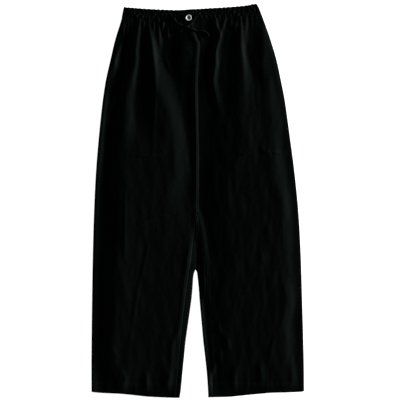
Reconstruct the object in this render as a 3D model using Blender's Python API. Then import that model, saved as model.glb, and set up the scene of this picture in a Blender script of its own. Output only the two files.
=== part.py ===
"""Drawstring trousers with wide straight legs, laid flat on a surface with the front up.

Metres, +Z up. +X is the viewer's right, +Y points to the waist, and Z = 0 is the surface.
The origin is the middle of the outline, on the surface. Left and right are the viewer's.
"""

import math

import bmesh
import bpy
import numpy as np

MM = 0.001

# Cloth and seams
CLOTH = 1.4 * MM
HEM_CLOTH = 2.2 * MM
HEM_DEPTH = 26 * MM
HEM_STEP = 5 * MM
SEAM_GAP = 0.3 * MM
EDGE_LOFT = 2.2 * MM
EDGE_LOFT_REACH = 17 * MM
EDGE_INSET = 2.6 * MM
EDGE_SHARE = 0.1
FOOT_REACH = 9 * MM
FLANK = 0.7

# Waistband
BAND_HEIGHT = 26 * MM
BAND_THICK = 4.5 * MM
TAB_THICK = 2.5 * MM
RUFFLE_PITCH = 11 * MM
RUFFLE_RISE = 0.9 * MM
RUFFLE_SCALLOP = 0.5 * MM
RUFFLE_DRIFTS = [
    # length over which the spacing drifts, how far it drifts
    (31.0 * MM, 0.9),
    (13.7 * MM, 0.5),
]
BACK_SHIFT = 0.7
TAB_LEFT = -54.5 * MM
TAB_RIGHT = -10.5 * MM
TAB_ROUND = 1.5 * MM
UNDERLAP_LEFT = -46 * MM
UNDERLAP_THICK = 2.2 * MM
TAB_LOW = BAND_THICK + UNDERLAP_THICK + 2 * SEAM_GAP
BAND_LEFT = -190.2 * MM
BAND_RIGHT = 159.4 * MM
BAND_LEAN_REACH = 50 * MM

# The band's section: share of its height, share of its thickness, share of the ruffle's rise
BAND_SECTION = [
    # up the band, up its thickness, ruffle
    (0.00, 0.50, 0.0),
    (0.05, 0.00, 0.0),
    (0.95, 0.00, 0.0),
    (1.00, 0.50, 0.0),
    (0.87, 1.00, 1.0),
    (0.50, 0.94, 0.8),
    (0.13, 1.00, 1.0),
]

# Gathers just under the waistband
GATHER_RISE = 1.2 * MM
GATHER_REACH = 32 * MM
GATHER_DRIFT = 17 * MM
WAIST_RISE_REACH = 75 * MM

# Button and drawstring
BUTTON_WIDTH = 15.0 * MM
BUTTON_THICK = 3.1 * MM
BUTTON_AT = (-22.9 * MM, 457.2 * MM)
HOLE_RING = 4.8 * MM
HOLE_WIDTH = 2.0 * MM
BUTTON_PROFILE = [
    # share of the radius, share of the thickness
    (0.00, 0.00),
    (0.70, 0.00),
    (1.00, 0.42),
    (1.00, 0.66),
    (0.90, 1.00),
    (0.74, 0.98),
    (0.58, 0.66),
    (0.00, 0.60),
]
CORD_WIDTH = 4.0 * MM
KNOT_SIZE = (13 * MM, 10 * MM, 7.5 * MM)
KNOT_AT = (-26.6 * MM, 435.4 * MM)

# Heights up the garment, before the rows are bent to the hem line and the waist seam
HEM_FLAT = -485 * MM
HEM_BEND = 60 * MM
WAIST_FLAT = 456 * MM
WAIST_BEND = 70 * MM
CROTCH_FOLD_Y = -172.8 * MM
FOUR_SEAMS_Y = -30.0 * MM
STRIP_TOP_Y = FOUR_SEAMS_Y - 1.5 * MM

# The outer edges: height up the garment, left edge and right edge
OUTER_EDGES = [
    # y, left x, right x
    (0.492, -0.1830, 0.1475),
    (0.482, -0.1850, 0.1532),
    (0.452, -0.1916, 0.1649),
    (0.402, -0.2069, 0.1826),
    (0.352, -0.2186, 0.1974),
    (0.302, -0.2299, 0.2081),
    (0.252, -0.2376, 0.2179),
    (0.177, -0.2459, 0.2284),
    (0.077, -0.2544, 0.2416),
    (-0.023, -0.2594, 0.2516),
    (-0.123, -0.2624, 0.2574),
    (-0.248, -0.2646, 0.2614),
    (-0.398, -0.2661, 0.2654),
    (-0.480, -0.2658, 0.2661),
    (-0.495, -0.2656, 0.2661),
]

# The gap between the legs: the fold at the inner edge of each leg
INNER_EDGES = [
    # y, left leg x, right leg x
    (-0.1728, -0.0058, -0.0054),
    (-0.1738, -0.0064, -0.0048),
    (-0.1778, -0.0084, -0.0026),
    (-0.1878, -0.0109, -0.0008),
    (-0.2228, -0.0134, 0.0026),
    (-0.2478, -0.0159, 0.0044),
    (-0.2978, -0.0229, 0.0089),
    (-0.3478, -0.0299, 0.0134),
    (-0.3978, -0.0349, 0.0191),
    (-0.4353, -0.0386, 0.0229),
    (-0.4753, -0.0426, 0.0256),
    (-0.4950, -0.0456, 0.0262),
]

# The inseams on the front side, from the point where four panels meet down to the hems
INSEAMS = [
    # y, left leg x, right leg x
    (-0.0300, -0.0030, -0.0008),
    (-0.0778, -0.0085, 0.0078),
    (-0.1103, -0.0131, 0.0125),
    (-0.1528, -0.0172, 0.0181),
    (-0.1828, -0.0229, 0.0199),
    (-0.2628, -0.0334, 0.0219),
    (-0.3253, -0.0404, 0.0256),
    (-0.4453, -0.0509, 0.0369),
    (-0.4950, -0.0546, 0.0396),
]

# The seam down the middle of the front, and the back seam that shows under its crotch
MIDDLE = [
    # y, x
    (0.4700, -0.0109),
    (0.4200, -0.0109),
    (0.4060, -0.0060),
    (0.3960, -0.0003),
    (0.3820, 0.0006),
    (0.2920, -0.0044),
    (0.1270, -0.0019),
    (-0.0300, -0.0019),
    (-0.0780, -0.0010),
    (-0.1500, -0.0024),
    (-0.1728, -0.0056),
]

WAIST_TOP = [
    # x, y
    (-0.1950, 0.4850),
    (-0.1850, 0.4842),
    (-0.1200, 0.4798),
    (-0.0700, 0.4775),
    (-0.0440, 0.4770),
    (-0.0200, 0.4788),
    (0.0310, 0.4818),
    (0.0810, 0.4848),
    (0.1310, 0.4893),
    (0.1475, 0.4920),
    (0.1700, 0.4920),
]

HEM_LINE = [
    # x, y
    (-0.2700, -0.4770),
    (-0.2444, -0.4802),
    (-0.1944, -0.4827),
    (-0.1569, -0.4865),
    (-0.1194, -0.4902),
    (-0.0494, -0.4927),
    (0.0256, -0.4912),
    (0.0806, -0.4902),
    (0.1056, -0.4877),
    (0.1556, -0.4827),
    (0.1806, -0.4802),
    (0.2556, -0.4778),
    (0.2700, -0.4750),
]

# The broad crown of the left leg: two rounded ridges, the valley between them and the one by the middle
LEFT_CROWN = [
    # y, foot x, height, outer crest x, height, valley x, height, inner crest x, height, dip x, height
    (0.4463, -0.1744, 0.0000, -0.1481, 0.0000, -0.1369, 0.0000, -0.1144, 0.0000, -0.0769, 0.0000),
    (0.4348, -0.1781, 0.0005, -0.1531, 0.0026, -0.1374, 0.0008, -0.1156, 0.0022, -0.0769, 0.0002),
    (0.4148, -0.1806, 0.0010, -0.1559, 0.0054, -0.1371, 0.0022, -0.1179, 0.0048, -0.0794, 0.0005),
    (0.3773, -0.1819, 0.0009, -0.1599, 0.0070, -0.1384, 0.0030, -0.1179, 0.0080, -0.0894, 0.0005),
    (0.3397, -0.1894, 0.0008, -0.1609, 0.0072, -0.1429, 0.0034, -0.1154, 0.0085, -0.0819, 0.0007),
    (0.3023, -0.1956, 0.0009, -0.1724, 0.0080, -0.1449, 0.0028, -0.1109, 0.0090, -0.0606, 0.0004),
    (0.2523, -0.2006, 0.0010, -0.1794, 0.0082, -0.1514, 0.0026, -0.0894, 0.0093, -0.0439, 0.0004),
    (0.1898, -0.2169, 0.0013, -0.1824, 0.0090, -0.1529, 0.0034, -0.0719, 0.0090, -0.0289, 0.0004),
    (0.1273, -0.2294, 0.0012, -0.1869, 0.0098, -0.1544, 0.0088, -0.0629, 0.0086, -0.0204, 0.0006),
    (0.0648, -0.2319, 0.0012, -0.1881, 0.0096, -0.1494, 0.0086, -0.0634, 0.0078, -0.0209, 0.0008),
    (0.0023, -0.2344, 0.0014, -0.1881, 0.0096, -0.1444, 0.0083, -0.0806, 0.0069, -0.0256, 0.0016),
    (-0.0602, -0.2369, 0.0015, -0.1906, 0.0095, -0.1394, 0.0076, -0.0844, 0.0064, -0.0331, 0.0044),
    (-0.1227, -0.2394, 0.0016, -0.1981, 0.0094, -0.1319, 0.0064, -0.0844, 0.0059, -0.0319, 0.0052),
    (-0.1852, -0.2419, 0.0016, -0.2019, 0.0093, -0.1369, 0.0064, -0.0844, 0.0059, -0.0419, 0.0054),
    (-0.2477, -0.2431, 0.0016, -0.2031, 0.0092, -0.1419, 0.0066, -0.0944, 0.0061, -0.0506, 0.0056),
    (-0.3102, -0.2444, 0.0016, -0.2044, 0.0089, -0.1494, 0.0066, -0.0994, 0.0061, -0.0644, 0.0056),
    (-0.3727, -0.2481, 0.0014, -0.2181, 0.0086, -0.1844, 0.0076, -0.1194, 0.0059, -0.0794, 0.0052),
    (-0.4352, -0.2456, 0.0014, -0.1981, 0.0078, -0.1669, 0.0060, -0.1194, 0.0042, -0.0819, 0.0032),
    (-0.4627, -0.2456, 0.0010, -0.1944, 0.0060, -0.1669, 0.0046, -0.1244, 0.0034, -0.0869, 0.0026),
    (-0.4753, -0.2456, 0.0005, -0.1931, 0.0030, -0.1669, 0.0022, -0.1244, 0.0016, -0.0869, 0.0012),
    (-0.4850, -0.2456, 0.0000, -0.1919, 0.0000, -0.1669, 0.0000, -0.1244, 0.0000, -0.0869, 0.0000),
]

# The broad crown of the right leg, the same way from the middle outwards, to the foot by the side seam
RIGHT_CROWN = [
    # y, rise x, height, inner crest x, height, valley x, height, outer crest x, height, foot x, height
    (0.4463, 0.0756, 0.0000, 0.1031, 0.0000, 0.1269, 0.0000, 0.1494, 0.0000, 0.1606, 0.0000),
    (0.4348, 0.0744, 0.0024, 0.1019, 0.0036, 0.1269, 0.0008, 0.1581, 0.0017, 0.1666, 0.0009),
    (0.4148, 0.0744, 0.0038, 0.1006, 0.0066, 0.1269, 0.0020, 0.1594, 0.0042, 0.1696, 0.0028),
    (0.3773, 0.0744, 0.0042, 0.0996, 0.0084, 0.1261, 0.0026, 0.1616, 0.0058, 0.1791, 0.0034),
    (0.3397, 0.0756, 0.0042, 0.1041, 0.0086, 0.1306, 0.0034, 0.1631, 0.0064, 0.1881, 0.0030),
    (0.3023, 0.0794, 0.0042, 0.1071, 0.0092, 0.1394, 0.0046, 0.1694, 0.0068, 0.1981, 0.0026),
    (0.2523, 0.0781, 0.0052, 0.1081, 0.0100, 0.1556, 0.0070, 0.1781, 0.0072, 0.2056, 0.0019),
    (0.1898, 0.0606, 0.0056, 0.1131, 0.0100, 0.1631, 0.0076, 0.1806, 0.0077, 0.2156, 0.0015),
    (0.1273, 0.0606, 0.0056, 0.1169, 0.0096, 0.1656, 0.0079, 0.1794, 0.0081, 0.2206, 0.0015),
    (0.0648, 0.0469, 0.0052, 0.0844, 0.0083, 0.1656, 0.0082, 0.1881, 0.0087, 0.2281, 0.0015),
    (0.0023, 0.0406, 0.0050, 0.0756, 0.0079, 0.1606, 0.0084, 0.2081, 0.0087, 0.2369, 0.0014),
    (-0.0602, 0.0456, 0.0050, 0.0856, 0.0079, 0.1606, 0.0085, 0.2094, 0.0087, 0.2406, 0.0014),
    (-0.1227, 0.0581, 0.0050, 0.1006, 0.0080, 0.1706, 0.0078, 0.2106, 0.0073, 0.2444, 0.0014),
    (-0.1852, 0.0456, 0.0050, 0.0831, 0.0079, 0.1606, 0.0082, 0.2131, 0.0075, 0.2469, 0.0014),
    (-0.2477, 0.0394, 0.0050, 0.0756, 0.0077, 0.1606, 0.0083, 0.2169, 0.0084, 0.2469, 0.0014),
    (-0.3102, 0.0419, 0.0050, 0.0756, 0.0075, 0.1506, 0.0082, 0.2069, 0.0084, 0.2406, 0.0012),
    (-0.3727, 0.0494, 0.0048, 0.0806, 0.0071, 0.1506, 0.0075, 0.2106, 0.0073, 0.2444, 0.0014),
    (-0.4352, 0.0544, 0.0038, 0.0806, 0.0061, 0.1456, 0.0065, 0.2044, 0.0068, 0.2481, 0.0016),
    (-0.4627, 0.0556, 0.0029, 0.0806, 0.0046, 0.1456, 0.0049, 0.2006, 0.0055, 0.2481, 0.0014),
    (-0.4753, 0.0556, 0.0014, 0.0806, 0.0022, 0.1456, 0.0024, 0.2006, 0.0029, 0.2481, 0.0007),
    (-0.4850, 0.0556, 0.0000, 0.0806, 0.0000, 0.1456, 0.0000, 0.2006, 0.0000, 0.2481, 0.0000),
]

# The fold of the left side seam, which stands up as a soft roll
LEFT_ROLL = [
    # y, height, half width
    (0.4350, 0.0000, 0.0140),
    (0.4020, 0.0006, 0.0140),
    (0.3770, 0.0018, 0.0170),
    (0.3620, 0.0028, 0.0200),
    (0.3470, 0.0036, 0.0210),
    (0.3270, 0.0030, 0.0170),
    (0.3070, 0.0016, 0.0110),
    (0.2870, 0.0006, 0.0100),
    (0.2670, 0.0012, 0.0090),
    (0.2470, 0.0028, 0.0160),
    (0.2270, 0.0022, 0.0120),
    (0.2020, 0.0028, 0.0120),
    (0.1770, 0.0028, 0.0110),
    (0.1520, 0.0030, 0.0130),
    (0.1270, 0.0036, 0.0150),
    (0.0900, 0.0030, 0.0130),
    (0.0520, 0.0020, 0.0110),
    (0.0020, 0.0016, 0.0120),
    (-0.0600, 0.0008, 0.0100),
    (-0.1230, 0.0006, 0.0100),
    (-0.3000, 0.0002, 0.0100),
    (-0.4200, 0.0008, 0.0100),
    (-0.4650, 0.0016, 0.0110),
    (-0.4850, 0.0012, 0.0110),
]

# The raised middle of the front, and the foot just to its right
MIDDLE_CROWN = [
    # y, height at the middle seam, height at the foot
    (0.4463, 0.0000, 0.0000),
    (0.4348, 0.0036, 0.0022),
    (0.4148, 0.0058, 0.0034),
    (0.3773, 0.0066, 0.0040),
    (0.3397, 0.0064, 0.0038),
    (0.3023, 0.0056, 0.0030),
    (0.2523, 0.0044, 0.0018),
    (0.1898, 0.0036, 0.0008),
    (0.1273, 0.0029, 0.0005),
    (0.0648, 0.0027, 0.0004),
    (0.0023, 0.0024, 0.0004),
    (-0.0602, 0.0020, 0.0005),
    (-0.1227, 0.0008, 0.0006),
    (-0.1727, 0.0000, 0.0008),
    (-0.4352, 0.0000, 0.0008),
    (-0.4627, 0.0000, 0.0005),
    (-0.4850, 0.0000, 0.0000),
]

# The largest folds of the front: soft ridges that run down from the waist
FOLDS = {
    "left outer pleat": [
        # y, x, half width, height
        (0.4573, -0.1414, 0.0055, 0.0014),
        (0.4298, -0.1439, 0.0060, 0.0026),
        (0.4073, -0.1464, 0.0065, 0.0024),
        (0.3773, -0.1489, 0.0065, 0.0020),
        (0.3397, -0.1504, 0.0060, 0.0016),
        (0.3023, -0.1569, 0.0080, 0.0010),
        (0.2573, -0.1619, 0.0080, 0.0000),
    ],
    "left middle pleat, outer strand": [
        (0.4560, -0.1194, 0.0045, 0.0013),
        (0.4348, -0.1179, 0.0050, 0.0026),
        (0.4148, -0.1149, 0.0055, 0.0028),
        (0.3873, -0.1089, 0.0060, 0.0026),
        (0.3498, -0.1044, 0.0060, 0.0022),
        (0.3023, -0.1019, 0.0060, 0.0015),
        (0.2523, -0.1036, 0.0055, 0.0013),
        (0.1898, -0.1049, 0.0065, 0.0010),
        (0.1273, -0.1069, 0.0070, 0.0006),
        (0.0973, -0.1069, 0.0070, 0.0000),
    ],
    "left middle pleat, main strand": [
        (0.4560, -0.0954, 0.0045, 0.0013),
        (0.4348, -0.0944, 0.0045, 0.0026),
        (0.4148, -0.0934, 0.0045, 0.0025),
        (0.3923, -0.0919, 0.0045, 0.0014),
        (0.3673, -0.0904, 0.0045, 0.0000),
    ],
    "left middle swell": [
        (0.4223, -0.0182, 0.0260, 0.0000),
        (0.4023, -0.0182, 0.0260, 0.0018),
        (0.3623, -0.0182, 0.0260, 0.0024),
        (0.3323, -0.0182, 0.0260, 0.0020),
        (0.2973, -0.0182, 0.0260, 0.0000),
    ],
    "left inner gather": [
        (0.3600, -0.0794, 0.0040, 0.0000),
        (0.3480, -0.0749, 0.0045, 0.0009),
        (0.3340, -0.0684, 0.0045, 0.0009),
        (0.3200, -0.0609, 0.0040, 0.0000),
    ],
    "left knee crease": [
        (0.0600, -0.1731, 0.0045, 0.0000),
        (0.0200, -0.1774, 0.0045, 0.0008),
        (-0.0602, -0.1794, 0.0045, 0.0010),
        (-0.1127, -0.1804, 0.0050, 0.0008),
        (-0.1527, -0.1819, 0.0050, 0.0000),
    ],
    "left shin crease": [
        (-0.0877, -0.1206, 0.0050, 0.0000),
        (-0.1227, -0.1234, 0.0050, 0.0007),
        (-0.1677, -0.1329, 0.0050, 0.0009),
        (-0.2228, -0.1459, 0.0055, 0.0009),
        (-0.2928, -0.1564, 0.0055, 0.0007),
        (-0.3603, -0.1656, 0.0060, 0.0004),
        (-0.4128, -0.1731, 0.0060, 0.0000),
    ],
    "right middle pleat": [
        (0.4580, 0.0466, 0.0045, 0.0012),
        (0.4380, 0.0516, 0.0050, 0.0031),
        (0.4120, 0.0581, 0.0060, 0.0044),
        (0.3760, 0.0496, 0.0065, 0.0048),
        (0.3397, 0.0486, 0.0070, 0.0050),
        (0.3023, 0.0441, 0.0080, 0.0046),
        (0.2623, 0.0506, 0.0095, 0.0032),
        (0.2373, 0.0581, 0.0100, 0.0016),
        (0.1923, 0.0681, 0.0110, 0.0000),
    ],
    "right middle pleat, second strand": [
        (0.4600, 0.0714, 0.0045, 0.0013),
        (0.4450, 0.0681, 0.0045, 0.0028),
        (0.4240, 0.0621, 0.0045, 0.0022),
        (0.4040, 0.0581, 0.0045, 0.0000),
    ],
    "right outer pleat": [
        (0.4620, 0.1086, 0.0050, 0.0014),
        (0.4400, 0.1111, 0.0055, 0.0028),
        (0.4148, 0.1131, 0.0060, 0.0026),
        (0.3773, 0.1141, 0.0065, 0.0020),
        (0.3397, 0.1196, 0.0070, 0.0014),
        (0.3023, 0.1231, 0.0080, 0.0009),
        (0.2573, 0.1281, 0.0090, 0.0000),
    ],
    "right outer pleat, second strand": [
        (0.4620, 0.1231, 0.0045, 0.0013),
        (0.4400, 0.1226, 0.0045, 0.0020),
        (0.4198, 0.1216, 0.0045, 0.0014),
        (0.3898, 0.1206, 0.0045, 0.0000),
    ],
    "right side crease": [
        (0.3020, 0.1869, 0.0110, 0.0000),
        (0.2150, 0.1981, 0.0120, 0.0005),
        (0.1270, 0.2051, 0.0130, 0.0004),
        (0.0020, 0.2206, 0.0120, 0.0004),
        (-0.1230, 0.2301, 0.0110, 0.0005),
        (-0.2480, 0.2341, 0.0110, 0.0007),
        (-0.3480, 0.2281, 0.0110, 0.0007),
        (-0.4500, 0.2331, 0.0120, 0.0000),
    ],
}

# Where the drawstring runs, seen from above; the heights come from what it lies on
LEFT_RUN = [
    # x, y
    (-0.0601, 0.4555),
    (-0.0548, 0.4490),
    (-0.0490, 0.4430),
    (-0.0420, 0.4392),
    (-0.0345, 0.4372),
]
RIGHT_RUN = [
    (-0.0034, 0.4612),
    (-0.0075, 0.4550),
    (-0.0112, 0.4482),
    (-0.0158, 0.4418),
    (-0.0197, 0.4382),
]
RIGHT_TAIL = [
    (-0.0195, 0.4318),
    (-0.0120, 0.4276),
    (-0.0021, 0.4248),
    (0.0060, 0.4243),
    (0.0140, 0.4240),
    (0.0205, 0.4215),
    (0.0252, 0.4168),
    (0.0282, 0.4105),
]
LEFT_TAIL = [
    (-0.0335, 0.4322),
    (-0.0375, 0.4296),
    (-0.0408, 0.4258),
    (-0.0430, 0.4210),
]

# How finely the pieces are drawn
COARSE_COLUMNS = 20
FINE_COLUMNS = 2 * COARSE_COLUMNS
FINE_ROWS_FROM = 335 * MM
STRIP_COLUMNS = 3
FLOOR_COLUMNS = 9
ROLL_STEPS = 3
HALF_TURN_STEPS = 2 * ROLL_STEPS
BUTTON_SIDES = 32
HOLE_SIDES = 10
CELLS_A_RUFFLE = 4
TAB_COLUMNS = 8
TAB_ROWS = 4

# The rows of the panels: the height where each zone ends, and its number of rows
FRONT_ROWS = [
    # end of zone, rows
    (HEM_FLAT + HEM_DEPTH, 1),
    (HEM_FLAT + HEM_DEPTH + HEM_STEP, 1),
    (-0.2420, 6),
    (-0.1878, 2),
    (-0.1778, 1),
    (-0.1738, 1),
    (CROTCH_FOLD_Y, 1),
    (STRIP_TOP_Y, 4),
    (FOUR_SEAMS_Y, 1),
    (FINE_ROWS_FROM, 10),
    (0.4000, 4),
    (WAIST_FLAT, 6),
]
BACK_ROWS = [zone for zone in FRONT_ROWS if zone[0] <= FINE_ROWS_FROM] + [(WAIST_FLAT, 4)]

LEFT, RIGHT = -1, 1


def read_off(table, at, column):
    """A smooth curve through one column of a table, read at a value of the table's first column."""
    rows = sorted(table)
    if at <= rows[0][0]:
        return rows[0][column]
    if at >= rows[-1][0]:
        return rows[-1][column]
    after = next(i for i, row in enumerate(rows) if row[0] > at)
    before = after - 1
    span = rows[after][0] - rows[before][0]

    def slope(i):
        low = rows[max(i - 1, 0)]
        high = rows[min(i + 1, len(rows) - 1)]
        return (high[column] - low[column]) / (high[0] - low[0])

    t = (at - rows[before][0]) / span
    start, end = rows[before][column], rows[after][column]
    return (
        start * (2 * t**3 - 3 * t**2 + 1)
        + span * slope(before) * (t**3 - 2 * t**2 + t)
        + end * (3 * t**2 - 2 * t**3)
        + span * slope(after) * (t**3 - t**2)
    )


def smooth_step(value):
    held = min(max(value, 0.0), 1.0)
    return held * held * (3 - 2 * held)


def column_of(side):
    return 1 if side == LEFT else 2


def outer_x(y, side):
    return read_off(OUTER_EDGES, y, column_of(side))


def inner_x(y, side):
    return read_off(INNER_EDGES, y, column_of(side))


def middle_x(y):
    return read_off(MIDDLE, y, 1)


def inseam_x(y, side):
    return read_off(INSEAMS, y, column_of(side))


def waist_seam_y(x):
    return read_off(WAIST_TOP, x, 1) - BAND_HEIGHT


def thickness(y):
    hem = 1 - smooth_step((y - HEM_FLAT - HEM_DEPTH) / HEM_STEP)
    return CLOTH + (HEM_CLOTH - CLOTH) * hem


def ruffle(x, shift=0.0):
    """Uneven waves along the elastic, from -1 to 1."""
    drift = sum(turn * math.sin(x / length + shift) for length, turn in RUFFLE_DRIFTS)
    return math.cos(2 * math.pi * x / RUFFLE_PITCH + drift + shift)


def gathers(x, y):
    below = waist_seam_y(x) - y
    fade = math.exp(-((max(below, 0) / GATHER_REACH) ** 2))
    uneven = 0.65 + 0.35 * math.sin(x / GATHER_DRIFT)
    return GATHER_RISE * fade * uneven * (0.5 + 0.5 * ruffle(x))


def folds(x, y):
    total = 0.0
    for rows in FOLDS.values():
        if rows[-1][0] < y < rows[0][0]:
            half_width = read_off(rows, y, 2)
            middle = read_off(rows, y, 1) - FLANK * half_width
            total += read_off(rows, y, 3) * math.exp(-(((x - middle) / half_width) ** 2))
    return total


def near_edge(x, y):
    """1 at the rolled edges of the garment, 0 well inside it."""
    distances = [x - outer_x(y, LEFT), outer_x(y, RIGHT) - x]
    if y < CROTCH_FOLD_Y:
        distances += [abs(x - inner_x(y, LEFT)), abs(x - inner_x(y, RIGHT))]
    else:
        distances.append(math.hypot(x - middle_x(CROTCH_FOLD_Y), y - CROTCH_FOLD_Y))
    nearest = max(min(distances), 0.0)
    return math.exp(-((nearest / EDGE_LOFT_REACH) ** 2))


def base_height(x, y):
    """The middle of the top cloth where it lies on the bottom cloth, and where it climbs to the band."""
    lying = 1.5 * thickness(y) + SEAM_GAP
    band_middle = 1.5 * BAND_THICK + SEAM_GAP
    climb = 1 - smooth_step((waist_seam_y(x) - y) / WAIST_RISE_REACH)
    return lying + (band_middle - lying) * climb


def across(points, x):
    """A smooth cross-section through points, level at each crest and in each valley."""
    x = min(max(x, points[0][0]), points[-1][0])
    steep = [(b[1] - a[1]) / (b[0] - a[0]) for a, b in zip(points, points[1:])]
    slopes = [steep[0]]
    for before, after in zip(steep, steep[1:]):
        slopes.append(2 * before * after / (before + after) if before * after > 0 else 0.0)
    slopes.append(steep[-1])
    i = next(i for i in range(len(steep)) if x <= points[i + 1][0])
    span = points[i + 1][0] - points[i][0]
    t = (x - points[i][0]) / span
    return (
        points[i][1] * (2 * t**3 - 3 * t**2 + 1)
        + span * slopes[i] * (t**3 - 2 * t**2 + t)
        + points[i + 1][1] * (3 * t**2 - 2 * t**3)
        + span * slopes[i + 1] * (t**3 - t**2)
    )


def inner_line(y, side):
    """The fold between the legs, or the middle seam above the crotch."""
    return inner_x(y, side) if y < CROTCH_FOLD_Y else middle_x(y)


def crown(x, y):
    """The broad crown of each leg, where air and gathered cloth hold the top cloth up."""
    seam = read_off(MIDDLE_CROWN, y, 1)
    if x < middle_x(y):
        points = [(read_off(LEFT_CROWN, y, i), read_off(LEFT_CROWN, y, i + 1)) for i in (1, 3, 5, 7, 9)]
        return across([(outer_x(y, LEFT), 0.0)] + points + [(inner_line(y, LEFT), seam)], x)
    start = inner_line(y, RIGHT)
    foot = (start + FOOT_REACH, read_off(MIDDLE_CROWN, y, 2))
    points = [(read_off(RIGHT_CROWN, y, i), read_off(RIGHT_CROWN, y, i + 1)) for i in (1, 3, 5, 7, 9)]
    return across([(start, seam), foot] + points + [(outer_x(y, RIGHT), 0.0)], x)


def side_roll(x, y):
    """The soft roll in which the left side is folded."""
    inside = (x - outer_x(y, LEFT)) / read_off(LEFT_ROLL, y, 2)
    return read_off(LEFT_ROLL, y, 1) * math.exp(-(inside**2))


def top_height(x, y):
    """The middle of the top cloth: base, soft edges, gathers, folds and the legs' crowns."""
    edge = near_edge(x, y)
    climb = 1 - smooth_step((waist_seam_y(x) - y) / WAIST_RISE_REACH)
    loft = EDGE_LOFT * edge * (1 - climb) + side_roll(x, y)
    return base_height(x, y) + loft + (gathers(x, y) + folds(x, y)) * (1 - edge) + crown(x, y)


def real_y(x, row_y):
    """Bends the straight rows to the hem line at the bottom and to the waist seam at the top."""
    to_hem = 1 - smooth_step((row_y - HEM_FLAT) / HEM_BEND)
    to_waist = 1 - smooth_step((WAIST_FLAT - row_y) / WAIST_BEND)
    bent = row_y + (read_off(HEM_LINE, x, 1) - HEM_FLAT) * to_hem
    return bent + (waist_seam_y(x) - SEAM_GAP - WAIST_FLAT) * to_waist


def colour(name, value, roughness):
    material = bpy.data.materials.new(name)
    material.diffuse_color = value
    material.use_nodes = True
    shader = material.node_tree.nodes["Principled BSDF"]
    shader.inputs["Base Color"].default_value = value
    shader.inputs["Roughness"].default_value = roughness
    shader.inputs["Metallic"].default_value = 0.0
    return material


def add_mesh(name, points, faces, material):
    mesh = bpy.data.meshes.new(name)
    mesh.from_pydata([tuple(point) for point in points], [], faces)
    mesh.validate()
    shape = bmesh.new()
    shape.from_mesh(mesh)
    bmesh.ops.recalc_face_normals(shape, faces=shape.faces)
    bmesh.ops.triangulate(shape, faces=shape.faces)
    shape.to_mesh(mesh)
    shape.free()
    mesh.materials.append(material)
    mesh.shade_smooth()
    mesh.set_sharp_from_angle(angle=math.radians(50))
    part = bpy.data.objects.new(name, mesh)
    bpy.context.scene.collection.objects.link(part)
    return part


class Cloth:
    """A sheet of cloth that is being drawn: middle points, which way its thickness goes, and faces."""

    def __init__(self):
        self.points = []
        self.offsets = []
        self.faces = []

    def add(self, point, offset):
        """offset is half the thickness, as a vector to the outer side."""
        self.points.append(point)
        self.offsets.append(offset)
        return len(self.points) - 1

    def join_rows(self, low, high):
        """Faces between two rows of equal length, or between a row and one with twice its cells."""
        if len(high) == len(low):
            for i in range(len(low) - 1):
                self.faces.append((low[i], low[i + 1], high[i + 1], high[i]))
            return
        for i in range(len(low) - 1):
            j = 2 * i
            self.faces.append((low[i], high[j + 1], high[j]))
            self.faces.append((low[i], low[i + 1], high[j + 1]))
            self.faces.append((low[i + 1], high[j + 2], high[j + 1]))

    def build(self, name, material):
        count = len(self.points)
        middle = np.array(self.points)
        offset = np.array(self.offsets)
        solid_points = np.vstack([middle + offset, middle - offset])
        uses = {}
        for face in self.faces:
            for a, b in zip(face, face[1:] + face[:1]):
                uses[(a, b)] = uses.get((a, b), 0) + 1
        rim = [(a, b) for a, b in uses if (b, a) not in uses]
        faces = list(self.faces)
        faces += [tuple(i + count for i in reversed(face)) for face in self.faces]
        faces += [(b, a, a + count, b + count) for a, b in rim]
        return add_mesh(name, solid_points, faces, material)


def upward(y):
    return (0.0, 0.0, thickness(y) / 2)


def rolled(x_edge, y, side, angle, z_low, z_high):
    """A point on the rolled edge: angle 0 is on top, a half turn is underneath."""
    half = thickness(y) / 2
    radius = (z_high - z_low) / 2
    x = x_edge - side * (half + radius) + side * radius * math.sin(angle)
    z = z_low + radius + radius * math.cos(angle)
    offset = (side * half * math.sin(angle), 0.0, half * math.cos(angle))
    return (x, y, z), offset


def edge_start(x_edge, y, side, z_low, z_high):
    return x_edge - side * (thickness(y) / 2 + (z_high - z_low) / 2)


def edge_height(x_edge, y, side):
    return top_height(x_edge - side * EDGE_INSET, y)


def seam_angle(y, radius):
    """How far round the rolled edge the side seam lies, with half its gap."""
    return math.acos(SEAM_GAP / 2 / (radius - thickness(y) / 2))


def front_inner_x(y, side):
    if y >= FOUR_SEAMS_Y:
        return middle_x(y) + side * SEAM_GAP / 2
    return inseam_x(y, side) + side * SEAM_GAP / 2


def front_row(cloth, row_y, side, cells):
    """Points from the middle seam or inseam out to the side seam."""
    y_side = real_y(outer_x(row_y, side), row_y)
    x_edge = outer_x(y_side, side)
    floor = thickness(y_side) / 2
    high = edge_height(x_edge, y_side, side)
    start = edge_start(x_edge, y_side, side, floor, high)
    inner = front_inner_x(row_y, side)
    row = []
    for i in range(cells + 1):
        share = i / cells
        x = inner + (start - inner) * share
        y = real_y(x, row_y)
        at_edge = smooth_step(1 - (1 - share) / EDGE_SHARE)
        z = top_height(x, y) * (1 - at_edge) + high * at_edge
        row.append(cloth.add((x, y, z), upward(y)))
    to_seam = seam_angle(y_side, (high - floor) / 2)
    for i in range(1, ROLL_STEPS + 1):
        point, offset = rolled(x_edge, y_side, side, to_seam * i / ROLL_STEPS, floor, high)
        row.append(cloth.add(point, offset))
    return row


def row_heights(zones):
    """Heights of the rows from the hem up, close together under the waist and at the crotch."""
    heights = [HEM_FLAT]
    for end, rows in zones:
        start = heights[-1]
        heights += [start + (end - start) * i / rows for i in range(1, rows)] + [end]
    return heights


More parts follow.
